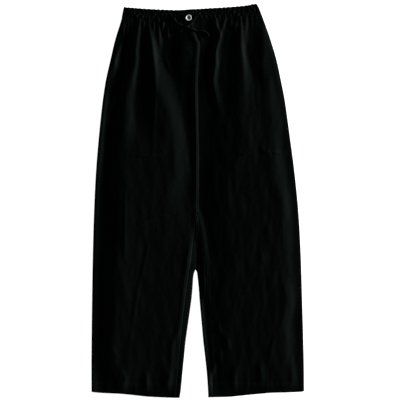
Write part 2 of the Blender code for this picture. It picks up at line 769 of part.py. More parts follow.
def front_panel(side, material):
    cloth = Cloth()
    before = None
    for row_y in row_heights(FRONT_ROWS):
        columns = FINE_COLUMNS if row_y > FINE_ROWS_FROM else COARSE_COLUMNS
        row = front_row(cloth, row_y, side, columns)
        if before and len(row) == len(before):
            cloth.join_rows(before, row)
        elif before:
            cloth.join_rows(before[: COARSE_COLUMNS + 1], row[: FINE_COLUMNS + 1])
            cloth.join_rows(before[COARSE_COLUMNS:], row[FINE_COLUMNS:])
        before = row
    name = "front_left" if side == LEFT else "front_right"
    return cloth.build(name, material)


def strip_x(y, side, share):
    """Across the part of the back panel that lies on the front side, from the inseam inwards."""
    start = inseam_x(y, side) - side * SEAM_GAP / 2
    if y >= CROTCH_FOLD_Y:
        end = middle_x(y) + side * SEAM_GAP / 2
    else:
        x_edge = inner_x(y, side)
        floor = thickness(y) / 2
        high = edge_height(x_edge, y, -side)
        end = edge_start(x_edge, y, -side, floor, high)
    return start + (end - start) * share


def back_row(cloth, row_y, side):
    """One row of the back panel. It returns the strip on the front side, the inner roll and the floor."""
    strip, roll, floor_row = [], [], []
    if row_y <= STRIP_TOP_Y:
        for i in range(STRIP_COLUMNS + 1):
            x = strip_x(row_y, side, i / STRIP_COLUMNS)
            y = real_y(x, row_y)
            strip.append(cloth.add((x, y, top_height(x, y)), upward(y)))
    y_in = row_y
    start = middle_x(row_y) + side * SEAM_GAP / 2
    if row_y < CROTCH_FOLD_Y:
        y_in = real_y(inner_x(row_y, side), row_y)
        x_edge = inner_x(y_in, side)
        floor = thickness(y_in) / 2
        high = edge_height(x_edge, y_in, -side)
        for i in range(1, HALF_TURN_STEPS):
            angle = math.pi * i / HALF_TURN_STEPS
            point, offset = rolled(x_edge, y_in, -side, angle, floor, high)
            roll.append(cloth.add(point, offset))
        start = edge_start(x_edge, y_in, -side, floor, high)
    y_side = real_y(outer_x(row_y, side), row_y)
    x_edge = outer_x(y_side, side)
    floor = thickness(y_side) / 2
    high = edge_height(x_edge, y_side, side)
    end = edge_start(x_edge, y_side, side, floor, high)
    for i in range(FLOOR_COLUMNS + 1):
        x = start + (end - start) * i / FLOOR_COLUMNS
        y = real_y(x, row_y)
        half = thickness(y) / 2
        floor_row.append(cloth.add((x, y, half), (0.0, 0.0, -half)))
    to_seam = seam_angle(y_side, (high - floor) / 2)
    for i in range(1, ROLL_STEPS + 1):
        angle = math.pi - to_seam * i / ROLL_STEPS
        point, offset = rolled(x_edge, y_side, side, angle, floor, high)
        floor_row.append(cloth.add(point, offset))
    return strip, roll, floor_row


def back_panel(side, material):
    cloth = Cloth()
    before = None
    for row_y in row_heights(BACK_ROWS):
        strip, roll, floor_row = back_row(cloth, row_y, side)
        if before:
            strip_before, roll_before, floor_before = before
            if roll:
                cloth.join_rows(
                    strip_before + roll_before + floor_before, strip + roll + floor_row
                )
            else:
                if strip:
                    cloth.join_rows(strip_before, strip)
                cloth.join_rows(floor_before, floor_row)
        before = (strip, roll, floor_row)
    name = "back_left" if side == LEFT else "back_right"
    return cloth.build(name, material)


def band_lean(x, y, y_low):
    """How far the band's end edges lean in, as the side edges do, fading out along the band."""
    to_left = 1 - smooth_step((x - BAND_LEFT) / BAND_LEAN_REACH)
    to_right = 1 - smooth_step((BAND_RIGHT - x) / BAND_LEAN_REACH)
    left = outer_x(y, LEFT) - outer_x(y_low, LEFT)
    right = outer_x(y, RIGHT) - outer_x(y_low, RIGHT)
    return left * to_left + right * to_right


def band_ring(x, low, thick, ruffled, shift):
    """One section of the band: an oblong of cloth round the elastic, fuller where a ruffle stands."""
    wave = ruffle(x, shift) * ruffled
    y_low = waist_seam_y(x)
    ring = []
    for share, rise, waves in BAND_SECTION:
        y = y_low + share * (BAND_HEIGHT + RUFFLE_SCALLOP * wave * (share > 0.9))
        x_here = x + band_lean(x, y, y_low)
        ring.append((x_here, y, low + rise * thick + waves * RUFFLE_RISE * wave))
    return ring


def band(name, stations, low, shift, material):
    """A closed tube of rings. stations are (x, thickness, share of ruffle)."""
    points, faces = [], []
    size = len(BAND_SECTION)
    for x, thick, ruffled in stations:
        points += band_ring(x, low, thick, ruffled, shift)
    for i in range(len(stations) - 1):
        for j in range(size):
            k = (j + 1) % size
            faces.append((i * size + j, i * size + k, (i + 1) * size + k, (i + 1) * size + j))
    faces.append(tuple(range(size)))
    faces.append(tuple(reversed(range(len(points) - size, len(points)))))
    return add_mesh(name, points, faces, material)


def ruffled_stations(start, end):
    cells = round((end - start) / RUFFLE_PITCH * CELLS_A_RUFFLE)
    return [(start + (end - start) * i / cells, BAND_THICK - RUFFLE_RISE, 1) for i in range(cells + 1)]


def waistband(material):
    front_low = BAND_THICK + SEAM_GAP
    band("waistband_back", ruffled_stations(BAND_LEFT, BAND_RIGHT), 0.0, BACK_SHIFT, material)
    left_end = TAB_LEFT - SEAM_GAP / 2
    band("waistband_front_left", ruffled_stations(BAND_LEFT, left_end), front_low, 0.0, material)
    step = TAB_RIGHT + SEAM_GAP
    flat_part = [(x, UNDERLAP_THICK, 0) for x in (UNDERLAP_LEFT, (UNDERLAP_LEFT + step) / 2, step)]
    full = ruffled_stations(step + SEAM_GAP, BAND_RIGHT)
    band("waistband_front_right", flat_part + full, front_low, 0.0, material)


def tab(material):
    """The flat tab, which lies on the underlap."""
    cloth = Cloth()
    middle = TAB_LOW + TAB_THICK / 2
    left = TAB_LEFT + SEAM_GAP / 2
    before = None
    for i in range(TAB_ROWS + 1):
        row = []
        share = i / TAB_ROWS
        round_off = TAB_ROUND * (2 * share - 1) ** 4
        for j in range(TAB_COLUMNS + 1):
            along = j / TAB_COLUMNS
            x = left + (TAB_RIGHT - round_off - left) * along
            y = waist_seam_y(x) + share * BAND_HEIGHT
            row.append(cloth.add((x, y, middle), (0, 0, TAB_THICK / 2)))
        if before:
            cloth.join_rows(before, row)
        before = row
    return cloth.build("waistband_tab", material)


def button(material):
    """A turned shirt button with a rim and a dished middle, pierced by four holes."""
    shape = bmesh.new()
    rings = []
    for radius, height in BUTTON_PROFILE:
        if radius == 0:
            rings.append([shape.verts.new((0, 0, height * BUTTON_THICK))])
            continue
        turn = 2 * math.pi / BUTTON_SIDES
        size = radius * BUTTON_WIDTH / 2
        rings.append(
            [
                shape.verts.new((size * math.cos(turn * i), size * math.sin(turn * i), height * BUTTON_THICK))
                for i in range(BUTTON_SIDES)
            ]
        )
    for inner, outer in zip(rings, rings[1:]):
        for i in range(BUTTON_SIDES):
            j = (i + 1) % BUTTON_SIDES
            if len(inner) == 1:
                shape.faces.new((inner[0], outer[i], outer[j]))
            elif len(outer) == 1:
                shape.faces.new((inner[i], outer[0], inner[j]))
            else:
                shape.faces.new((inner[i], outer[i], outer[j], inner[j]))
    bmesh.ops.recalc_face_normals(shape, faces=shape.faces)
    mesh = bpy.data.meshes.new("button")
    shape.to_mesh(mesh)
    shape.free()
    mesh.materials.append(material)
    part = bpy.data.objects.new("button", mesh)
    bpy.context.scene.collection.objects.link(part)
    part.location = (*BUTTON_AT, TAB_LOW + TAB_THICK + SEAM_GAP)
    for i in range(4):
        turn = math.pi / 4 + math.pi / 2 * i
        place = (
            BUTTON_AT[0] + HOLE_RING / 2 * math.cos(turn),
            BUTTON_AT[1] + HOLE_RING / 2 * math.sin(turn),
            part.location.z,
        )
        bpy.ops.mesh.primitive_cylinder_add(
            vertices=HOLE_SIDES, radius=HOLE_WIDTH / 2, depth=4 * BUTTON_THICK, location=place
        )
        cutter = bpy.context.object
        cutter.name = f"button_hole_cutter_{i + 1}"
        cutter.hide_render = True
        cutter.display_type = "WIRE"
        cut = part.modifiers.new(f"hole {i + 1}", "BOOLEAN")
        cut.operation = "DIFFERENCE"
        cut.object = cutter
    mesh.shade_smooth()
    mesh.set_sharp_from_angle(angle=math.radians(40))
    return part


def surface_height(x, y):
    """The highest face under a spot: tab, band or front panel."""
    if y <= waist_seam_y(x):
        return top_height(x, y) + thickness(y) / 2
    if TAB_LEFT < x < TAB_RIGHT:
        return TAB_LOW + TAB_THICK
    return 2 * BAND_THICK + SEAM_GAP + RUFFLE_RISE


def clear_height(x, y, reach):
    """The lowest height that clears every face within reach of a spot."""
    spots = [(dx * reach, dy * reach) for dx in (-1, 0, 1) for dy in (-1, 0, 1)]
    return max(surface_height(x + dx, y + dy) for dx, dy in spots) + SEAM_GAP


def cord(name, route, material):
    """A length of drawstring along a route on the cloth, as a curve with a round section."""
    radius = CORD_WIDTH / 2
    curve = bpy.data.curves.new(name, "CURVE")
    curve.dimensions = "3D"
    curve.bevel_depth = radius
    curve.bevel_resolution = 2
    curve.use_fill_caps = True
    spline = curve.splines.new("POLY")
    spline.points.add(len(route) - 1)
    for place, (x, y) in zip(spline.points, route):
        place.co = (x, y, clear_height(x, y, radius) + radius, 1)
    curve.materials.append(material)
    part = bpy.data.objects.new(name, curve)
    bpy.context.scene.collection.objects.link(part)
    return part


def knot(material):
    bpy.ops.mesh.primitive_uv_sphere_add(segments=16, ring_count=10, radius=0.5)
    part = bpy.context.object
    part.name = "drawstring_knot"
    part.data.name = part.name
    for corner in part.data.vertices:
        corner.co.x *= KNOT_SIZE[0]
        corner.co.y *= KNOT_SIZE[1]
        corner.co.z *= KNOT_SIZE[2]
    part.location = (*KNOT_AT, clear_height(*KNOT_AT, KNOT_SIZE[1] / 2) + KNOT_SIZE[2] / 2)
    part.data.materials.append(material)
    part.data.shade_smooth()
    return part


def main():
    for part in list(bpy.data.objects):
        bpy.data.objects.remove(part, do_unlink=True)
    cloth = colour("black cloth", (0.012, 0.013, 0.013, 1), 0.6)
    string = colour("black cord", (0.016, 0.017, 0.017, 1), 0.7)
    shell = colour("grey button", (0.34, 0.35, 0.35, 1), 0.3)
    for side in (LEFT, RIGHT):
        front_panel(side, cloth)
        back_panel(side, cloth)
    waistband(cloth)
    tab(cloth)
    button(shell)
    cord("drawstring_left_run", LEFT_RUN, string)
    cord("drawstring_right_run", RIGHT_RUN, string)
    cord("drawstring_left_tail", LEFT_TAIL, string)
    cord("drawstring_right_tail", RIGHT_TAIL, string)
    knot(string)


main()
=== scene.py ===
# Black drawstring trousers with wide straight legs, laid flat with the front up.
# Metres. +X is the viewer's right, +Y points to the waist, and Z = 0 is the surface they lie on.
# The tables of lines, crowns, folds and creases are in millimetres, and curve turns them to metres.

import math

import bmesh
import bpy
import numpy as np
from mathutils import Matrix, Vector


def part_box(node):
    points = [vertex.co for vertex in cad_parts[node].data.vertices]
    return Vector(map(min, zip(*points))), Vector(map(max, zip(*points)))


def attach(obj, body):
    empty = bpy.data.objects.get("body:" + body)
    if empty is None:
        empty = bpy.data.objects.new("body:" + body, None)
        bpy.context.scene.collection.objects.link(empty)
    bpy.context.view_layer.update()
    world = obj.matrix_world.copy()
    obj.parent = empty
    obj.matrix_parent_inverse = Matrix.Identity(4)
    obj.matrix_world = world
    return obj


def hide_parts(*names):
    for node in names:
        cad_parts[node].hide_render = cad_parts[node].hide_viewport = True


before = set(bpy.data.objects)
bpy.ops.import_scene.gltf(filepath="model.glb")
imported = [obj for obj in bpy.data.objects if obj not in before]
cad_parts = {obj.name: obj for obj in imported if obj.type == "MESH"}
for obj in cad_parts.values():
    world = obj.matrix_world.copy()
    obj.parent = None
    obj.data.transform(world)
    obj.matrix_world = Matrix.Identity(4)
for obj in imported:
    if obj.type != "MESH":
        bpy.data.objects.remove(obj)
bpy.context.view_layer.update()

MM = 0.001
LEFT, RIGHT = -1, 1

# Cloth, hems and seams
CLOTH = 1.4 * MM
HEM_CLOTH = 2.2 * MM
HEM_DEPTH = 26 * MM
HEM_STEP = 5 * MM
SEAM_GAP = 0.3 * MM
INTO_BAND = 1.5 * MM
EDGE_LOFT = 2.2 * MM
EDGE_LOFT_REACH = 17 * MM
EDGE_INSET = 2.6 * MM
EDGE_SHARE = 0.025
PANEL_SHELL = 1.1 * MM

# Waistband, a gathered casing round elastic, and its flat tab
BAND_HEIGHT = 26 * MM
BAND_THICK = 4.5 * MM
TAB_THICK = 2.5 * MM
RUFFLE_PITCH = 11 * MM
RUFFLE_RISE = 0.9 * MM
RUFFLE_SCALLOP = 0.5 * MM
RUFFLE_DRIFTS = [
    # length over which the spacing drifts, how far it drifts
    (31.0 * MM, 0.9),
    (13.7 * MM, 0.5),
]
BACK_SHIFT = 0.7
TAB_LEFT = -54.5 * MM
TAB_RIGHT = -10.5 * MM
TAB_ROUND = 1.5 * MM
UNDERLAP_LEFT = -46 * MM
UNDERLAP_THICK = 2.2 * MM
TAB_LOW = BAND_THICK + UNDERLAP_THICK + 2 * SEAM_GAP
BAND_LEFT = -190.2 * MM
BAND_RIGHT = 159.4 * MM
BAND_LEAN_REACH = 50 * MM
BAND_ROWS = (0.34, 0.68)
BAND_SHELL = 0.8 * MM
TAB_SHELL = 0.6 * MM

# Gathers under the waistband
GATHER_RISE = 1.0 * MM
GATHER_REACH = 32 * MM
GATHER_DRIFT = 17 * MM
GATHERS_HELD_AT = 5 * MM
GATHERS_HELD_REACH = 30 * MM
WAIST_RISE_REACH = 75 * MM

# Button and drawstring
BUTTON_AT = (-22.9 * MM, 457.2 * MM)
HOLE_RING = 4.8 * MM
BUTTONHOLE_HALF = 9.8 * MM
CORD_WIDTH = 4.0 * MM
BRAID_LAY = 5.2 * MM
EYELET_HALF = (4.3 * MM, 3.4 * MM)
KNOT_SINK = 1.0 * MM
KNOT_AT = (-26.6 * MM, 435.4 * MM)

# Heights up the garment, before the rows are bent to the hem line and the waist seam
HEM_FLAT = -485 * MM
HEM_BEND = 60 * MM
WAIST_FLAT = 456 * MM
WAIST_BEND = 70 * MM
HEM_TOP_Y = -460 * MM
CROTCH_FOLD_Y = -172.8 * MM
FOUR_SEAMS_Y = -30.0 * MM
STRIP_TOP_Y = FOUR_SEAMS_Y - 1.5 * MM

# The broad crown of the left leg: two rounded ridges, the valley between them and the one by the middle
LEFT_CROWN = [
    # y, foot x, height, outer crest x, height, valley x, height, inner crest x, height, dip x, height
    (446.3, -174.4, 0, -148.1, 0, -136.9, 0, -114.4, 0, -76.9, 0),
    (434.8, -178.1, 0.5, -153.1, 2.6, -137.4, 0.8, -115.6, 2.2, -76.9, 0.2),
    (414.8, -180.6, 1, -155.9, 5.4, -137.1, 2.2, -117.9, 4.8, -79.4, 0.5),
    (377.3, -181.9, 0.9, -159.9, 7, -138.4, 3, -117.9, 8, -89.4, 0.5),
    (339.7, -189.4, 0.8, -160.9, 7.2, -142.9, 3.4, -115.4, 8.5, -81.9, 0.7),
    (302.3, -195.6, 0.9, -172.4, 8, -144.9, 2.8, -110.9, 9, -60.6, 0.4),
    (252.3, -200.6, 1, -179.4, 8.2, -151.4, 2.6, -89.4, 9.3, -43.9, 0.4),
    (189.8, -216.9, 1.3, -182.4, 9, -152.9, 3.4, -71.9, 9, -28.9, 0.4),
    (127.3, -229.4, 1.2, -186.9, 9.8, -154.4, 8.8, -62.9, 8.6, -20.4, 0.6),
    (64.8, -231.9, 1.2, -188.1, 9.6, -149.4, 8.6, -63.4, 7.8, -20.9, 0.8),
    (2.3, -234.4, 1.4, -188.1, 9.6, -144.4, 8.3, -80.6, 6.9, -25.6, 1.6),
    (-60.2, -236.9, 1.5, -190.6, 9.5, -139.4, 7.6, -84.4, 6.4, -33.1, 4.4),
    (-122.7, -239.4, 1.6, -198.1, 9.4, -131.9, 6.4, -84.4, 5.9, -31.9, 5.2),
    (-185.2, -241.9, 1.6, -201.9, 9.3, -136.9, 6.4, -84.4, 5.9, -41.9, 5.4),
    (-247.7, -243.1, 1.6, -203.1, 9.2, -141.9, 6.6, -94.4, 6.1, -50.6, 5.6),
    (-310.2, -244.4, 1.6, -204.4, 8.9, -149.4, 6.6, -99.4, 6.1, -64.4, 5.6),
    (-372.7, -248.1, 1.4, -218.1, 8.6, -184.4, 7.6, -119.4, 5.9, -79.4, 5.2),
    (-435.2, -245.6, 1.4, -198.1, 7.8, -166.9, 6, -119.4, 4.2, -81.9, 3.2),
    (-462.7, -245.6, 1, -194.4, 6, -166.9, 4.6, -124.4, 3.4, -86.9, 2.6),
    (-475.3, -245.6, 0.5, -193.1, 3, -166.9, 2.2, -124.4, 1.6, -86.9, 1.2),
    (-485, -245.6, 0, -191.9, 0, -166.9, 0, -124.4, 0, -86.9, 0),
]

# The broad crown of the right leg, the same way from the middle outwards, to the foot by the side seam
RIGHT_CROWN = [
    # y, rise x, height, inner crest x, height, valley x, height, outer crest x, height, foot x, height
    (446.3, 75.6, 0, 103.1, 0, 126.9, 0, 149.4, 0, 160.6, 0),
    (434.8, 74.4, 2.4, 101.9, 3.6, 126.9, 0.8, 158.1, 1.7, 166.6, 0.9),
    (414.8, 74.4, 3.8, 100.6, 6.6, 126.9, 2, 159.4, 4.2, 169.6, 2.8),
    (377.3, 74.4, 4.2, 99.6, 8.4, 126.1, 2.6, 161.6, 5.8, 179.1, 3.4),
    (339.7, 75.6, 4.2, 104.1, 8.6, 130.6, 3.4, 163.1, 6.4, 188.1, 3),
    (302.3, 79.4, 4.2, 107.1, 9.2, 139.4, 4.6, 169.4, 6.8, 198.1, 2.6),
    (252.3, 78.1, 5.2, 108.1, 10, 155.6, 7, 178.1, 7.2, 205.6, 1.9),
    (189.8, 60.6, 5.6, 113.1, 10, 163.1, 7.6, 180.6, 7.7, 215.6, 1.5),
    (127.3, 60.6, 5.6, 116.9, 9.6, 165.6, 7.9, 179.4, 8.1, 220.6, 1.5),
    (64.8, 46.9, 5.2, 84.4, 8.3, 165.6, 8.2, 188.1, 8.7, 228.1, 1.5),
    (2.3, 40.6, 5, 75.6, 7.9, 160.6, 8.4, 208.1, 8.7, 236.9, 1.4),
    (-60.2, 45.6, 5, 85.6, 7.9, 160.6, 8.5, 209.4, 8.7, 240.6, 1.4),
    (-122.7, 58.1, 5, 100.6, 8, 170.6, 7.8, 210.6, 7.3, 244.4, 1.4),
    (-185.2, 45.6, 5, 83.1, 7.9, 160.6, 8.2, 213.1, 7.5, 246.9, 1.4),
    (-247.7, 39.4, 5, 75.6, 7.7, 160.6, 8.3, 216.9, 8.4, 246.9, 1.4),
    (-310.2, 41.9, 5, 75.6, 7.5, 150.6, 8.2, 206.9, 8.4, 240.6, 1.2),
    (-372.7, 49.4, 4.8, 80.6, 7.1, 150.6, 7.5, 210.6, 7.3, 244.4, 1.4),
    (-435.2, 54.4, 3.8, 80.6, 6.1, 145.6, 6.5, 204.4, 6.8, 248.1, 1.6),
    (-462.7, 55.6, 2.9, 80.6, 4.6, 145.6, 4.9, 200.6, 5.5, 248.1, 1.4),
    (-475.3, 55.6, 1.4, 80.6, 2.2, 145.6, 2.4, 200.6, 2.9, 248.1, 0.7),
    (-485, 55.6, 0, 80.6, 0, 145.6, 0, 200.6, 0, 248.1, 0),
]

# The fold of the left side seam, which stands up as a soft roll
LEFT_ROLL = [
    # y, height, half width
    (435, 0, 14),
    (402, 0.6, 14),
    (377, 1.8, 17),
    (362, 2.8, 20),
    (347, 3.6, 21),
    (327, 3, 17),
    (307, 1.6, 11),
    (287, 0.6, 10),
    (267, 1.2, 9),
    (247, 2.8, 16),
    (227, 2.2, 12),
    (202, 2.8, 12),
    (177, 2.8, 11),
    (152, 3, 13),
    (127, 3.6, 15),
    (90, 3, 13),
    (52, 2, 11),
    (2, 1.6, 12),
    (-60, 0.8, 10),
    (-123, 0.6, 10),
    (-300, 0.2, 10),
    (-420, 0.8, 10),
    (-465, 1.6, 11),
    (-485, 1.2, 11),
]

# The raised middle of the front, and the foot just to its right
MIDDLE_CROWN = [
    # y, height at the middle seam, height at the foot
    (446.3, 0, 0),
    (434.8, 3.6, 2.2),
    (414.8, 5.8, 3.4),
    (377.3, 6.6, 4),
    (339.7, 6.4, 3.8),
    (302.3, 5.6, 3),
    (252.3, 4.4, 1.8),
    (189.8, 3.6, 0.8),
    (127.3, 2.9, 0.5),
    (64.8, 2.7, 0.4),
    (2.3, 2.4, 0.4),
    (-60.2, 2, 0.5),
    (-122.7, 0.8, 0.6),
    (-172.7, 0, 0.8),
    (-435.2, 0, 0.8),
    (-462.7, 0, 0.5),
    (-485, 0, 0),
]

# The columns of both crown tables that hold an x, and those that hold a height
CROWN_X = (1, 3, 5, 7, 9)
CROWN_HEIGHT = (2, 4, 6, 8, 10)
# How far the foot's height wanders, and how far the foot lies from the middle
FOOT_UNEVEN = 0.45 * MM
FOOT_REACH = 5.5 * MM

# The outer edges: height up the garment, left edge and right edge
OUTER_EDGES = [
    # y, left x, right x
    (492, -183, 147.5),
    (482, -185, 153.2),
    (452, -191.6, 164.9),
    (402, -206.9, 182.6),
    (352, -218.6, 197.4),
    (302, -229.9, 208.1),
    (252, -237.6, 217.9),
    (177, -245.9, 228.4),
    (77, -254.4, 241.6),
    (-23, -259.4, 251.6),
    (-123, -262.4, 257.4),
    (-248, -264.6, 261.4),
    (-398, -266.1, 265.4),
    (-480, -265.8, 266.1),
    (-495, -265.6, 266.1),
]

# The gap between the legs: the fold at the inner edge of each leg
INNER_EDGES = [
    # y, left leg x, right leg x
    (-172.8, -5.8, -5.4),
    (-173.8, -6.4, -4.8),
    (-177.8, -8.4, -2.6),
    (-187.8, -10.9, -0.8),
    (-222.8, -13.4, 2.6),
    (-247.8, -15.9, 4.4),
    (-297.8, -22.9, 8.9),
    (-347.8, -29.9, 13.4),
    (-397.8, -34.9, 19.1),
    (-435.3, -38.6, 22.9),
    (-475.3, -42.6, 25.6),
    (-495, -45.6, 26.2),
]

# The inseams on the front side, from the point where four panels meet down to the hems
INSEAMS = [
    # y, left leg x, right leg x
    (-30, -3, -0.8),
    (-77.8, -8.5, 7.8),
    (-110.3, -13.1, 12.5),
    (-152.8, -17.2, 18.1),
    (-182.8, -22.9, 19.9),
    (-262.8, -33.4, 21.9),
    (-325.3, -40.4, 25.6),
    (-445.3, -50.9, 36.9),
    (-495, -54.6, 39.6),
]

# The seam down the middle of the front, and the back seam that shows under its crotch
MIDDLE = [
    # y, x
    (470, -10.9),
    (420, -10.9),
    (406, -6),
    (396, -0.3),
    (382, 0.6),
    (292, -4.4),
    (127, -1.9),
    (-30, -1.9),
    (-78, -1),
    (-150, -2.4),
    (-172.8, -5.6),
]

# The upper edge of the waistband
WAIST_TOP = [
    # x, y
    (-195, 485),
    (-185, 484.2),
    (-120, 479.8),
    (-70, 477.5),
    (-44, 477),
    (-20, 478.8),
    (31, 481.8),
    (81, 484.8),
    (131, 489.3),
    (147.5, 492),
    (170, 492),
]

# The lower edge of both hems
HEM_LINE = [
    # x, y
    (-270, -477),
    (-244.4, -480.2),
    (-194.4, -482.7),
    (-156.9, -486.5),
    (-119.4, -490.2),
    (-49.4, -492.7),
    (25.6, -491.2),
    (80.6, -490.2),
    (105.6, -487.7),
    (155.6, -482.7),
    (180.6, -480.2),
    (255.6, -477.8),
    (270, -475),
]

# The largest folds of the front: soft ridges that run down from the waist
FOLDS = {
    "left outer pleat": [
        # y, x, half width, height
        (457.3, -141.4, 5.5, 1.4), (429.8, -143.9, 6, 2.6), (407.3, -146.4, 6.5, 2.4),
        (377.3, -148.9, 6.5, 2), (339.7, -150.4, 6, 1.6), (302.3, -156.9, 8, 1), (257.3, -161.9, 8, 0),
    ],
    "left middle pleat, outer strand": [
        (456, -119.4, 4.5, 1.3), (434.8, -117.9, 5, 2.6), (414.8, -114.9, 5.5, 2.8),
        (387.3, -108.9, 6, 2.6), (349.8, -104.4, 6, 2.2), (302.3, -101.9, 6, 1.5),
        (252.3, -103.6, 5.5, 1.3), (189.8, -104.9, 6.5, 1), (127.3, -106.9, 7, 0.6),
        (97.3, -106.9, 7, 0),
    ],
    "left middle pleat, main strand": [
        (456, -95.4, 4.5, 1.3), (434.8, -94.4, 4.5, 2.6), (414.8, -93.4, 4.5, 2.5),
        (392.3, -91.9, 4.5, 1.4), (367.3, -90.4, 4.5, 0),
    ],
    "left middle swell": [
        (422.3, -18.2, 26, 0), (402.3, -18.2, 26, 1.8), (362.3, -18.2, 26, 2.4), (332.3, -18.2, 26, 2),
        (297.3, -18.2, 26, 0),
    ],
    "left inner gather": [
        (360, -79.4, 4, 0), (348, -74.9, 4.5, 0.9), (334, -68.4, 4.5, 0.9), (320, -60.9, 4, 0),
    ],
    "left knee crease": [
        (60, -173.1, 4.5, 0), (20, -177.4, 4.5, 0.8), (-60.2, -179.4, 4.5, 1), (-112.7, -180.4, 5, 0.8),
        (-152.7, -181.9, 5, 0),
    ],
    "left shin crease": [
        (-87.7, -120.6, 5, 0), (-122.7, -123.4, 5, 0.7), (-167.7, -132.9, 5, 0.9),
        (-222.8, -145.9, 5.5, 0.9), (-292.8, -156.4, 5.5, 0.7), (-360.3, -165.6, 6, 0.4),
        (-412.8, -173.1, 6, 0),
    ],
    "right middle pleat": [
        (458, 46.6, 4.5, 1.2), (438, 51.6, 5, 3.1), (412, 58.1, 6, 4.4), (376, 49.6, 6.5, 4.8),
        (339.7, 48.6, 7, 5), (302.3, 44.1, 8, 4.6), (262.3, 50.6, 9.5, 3.2), (237.3, 58.1, 10, 1.6),
        (192.3, 68.1, 11, 0),
    ],
    "right middle pleat, second strand": [
        (460, 71.4, 4.5, 1.3), (445, 68.1, 4.5, 2.8), (424, 62.1, 4.5, 2.2), (404, 58.1, 4.5, 0),
    ],
    "right outer pleat": [
        (462, 108.6, 5, 1.4), (440, 111.1, 5.5, 2.8), (414.8, 113.1, 6, 2.6), (377.3, 114.1, 6.5, 2),
        (339.7, 119.6, 7, 1.4), (302.3, 123.1, 8, 0.9), (257.3, 128.1, 9, 0),
    ],
    "right outer pleat, second strand": [
        (462, 123.1, 4.5, 1.3), (440, 122.6, 4.5, 2), (419.8, 121.6, 4.5, 1.4), (389.8, 120.6, 4.5, 0),
    ],
    "right side crease": [
        (302, 186.9, 11, 0), (215, 198.1, 12, 0.5), (127, 205.1, 13, 0.4), (2, 220.6, 12, 0.4),
        (-123, 230.1, 11, 0.5), (-248, 234.1, 11, 0.7), (-348, 228.1, 11, 0.7), (-450, 233.1, 12, 0),
    ],
}

# Where the drawstring runs, seen from above; the heights come from what it lies on
LEFT_RUN = [
    # x, y
    (-60.1, 455.5),
    (-54.8, 449),
    (-49, 443),
    (-42, 439.2),
    (-34.5, 437.2),
]
RIGHT_RUN = [
    (-3.4, 461.2),
    (-7.5, 455),
    (-11.2, 448.2),
    (-15.8, 441.8),
    (-19.7, 438.2),
]
RIGHT_TAIL = [
    (-19.5, 431.8),
    (-12, 427.6),
    (-2.1, 424.8),
    (6, 424.3),
    (14, 424),
    (20.5, 421.5),
    (25.2, 416.8),
    (28.2, 410.5),
]
LEFT_TAIL = [
    (-33.5, 432.2),
    (-37.5, 429.6),
    (-40.8, 425.8),
    (-43, 421),
]

# The fly's row of stitches, from the waist seam down and in to the middle seam
FLY_ROW = [
    # x, y
    (-33.5, 444.0),
    (-33.5, 420.0),
    (-33.2, 390.0),
    (-32.5, 365.0),
    (-28.5, 350.0),
    (-21.5, 341.5),
    (-12.0, 337.5),
    (-4.5, 336.5),
]

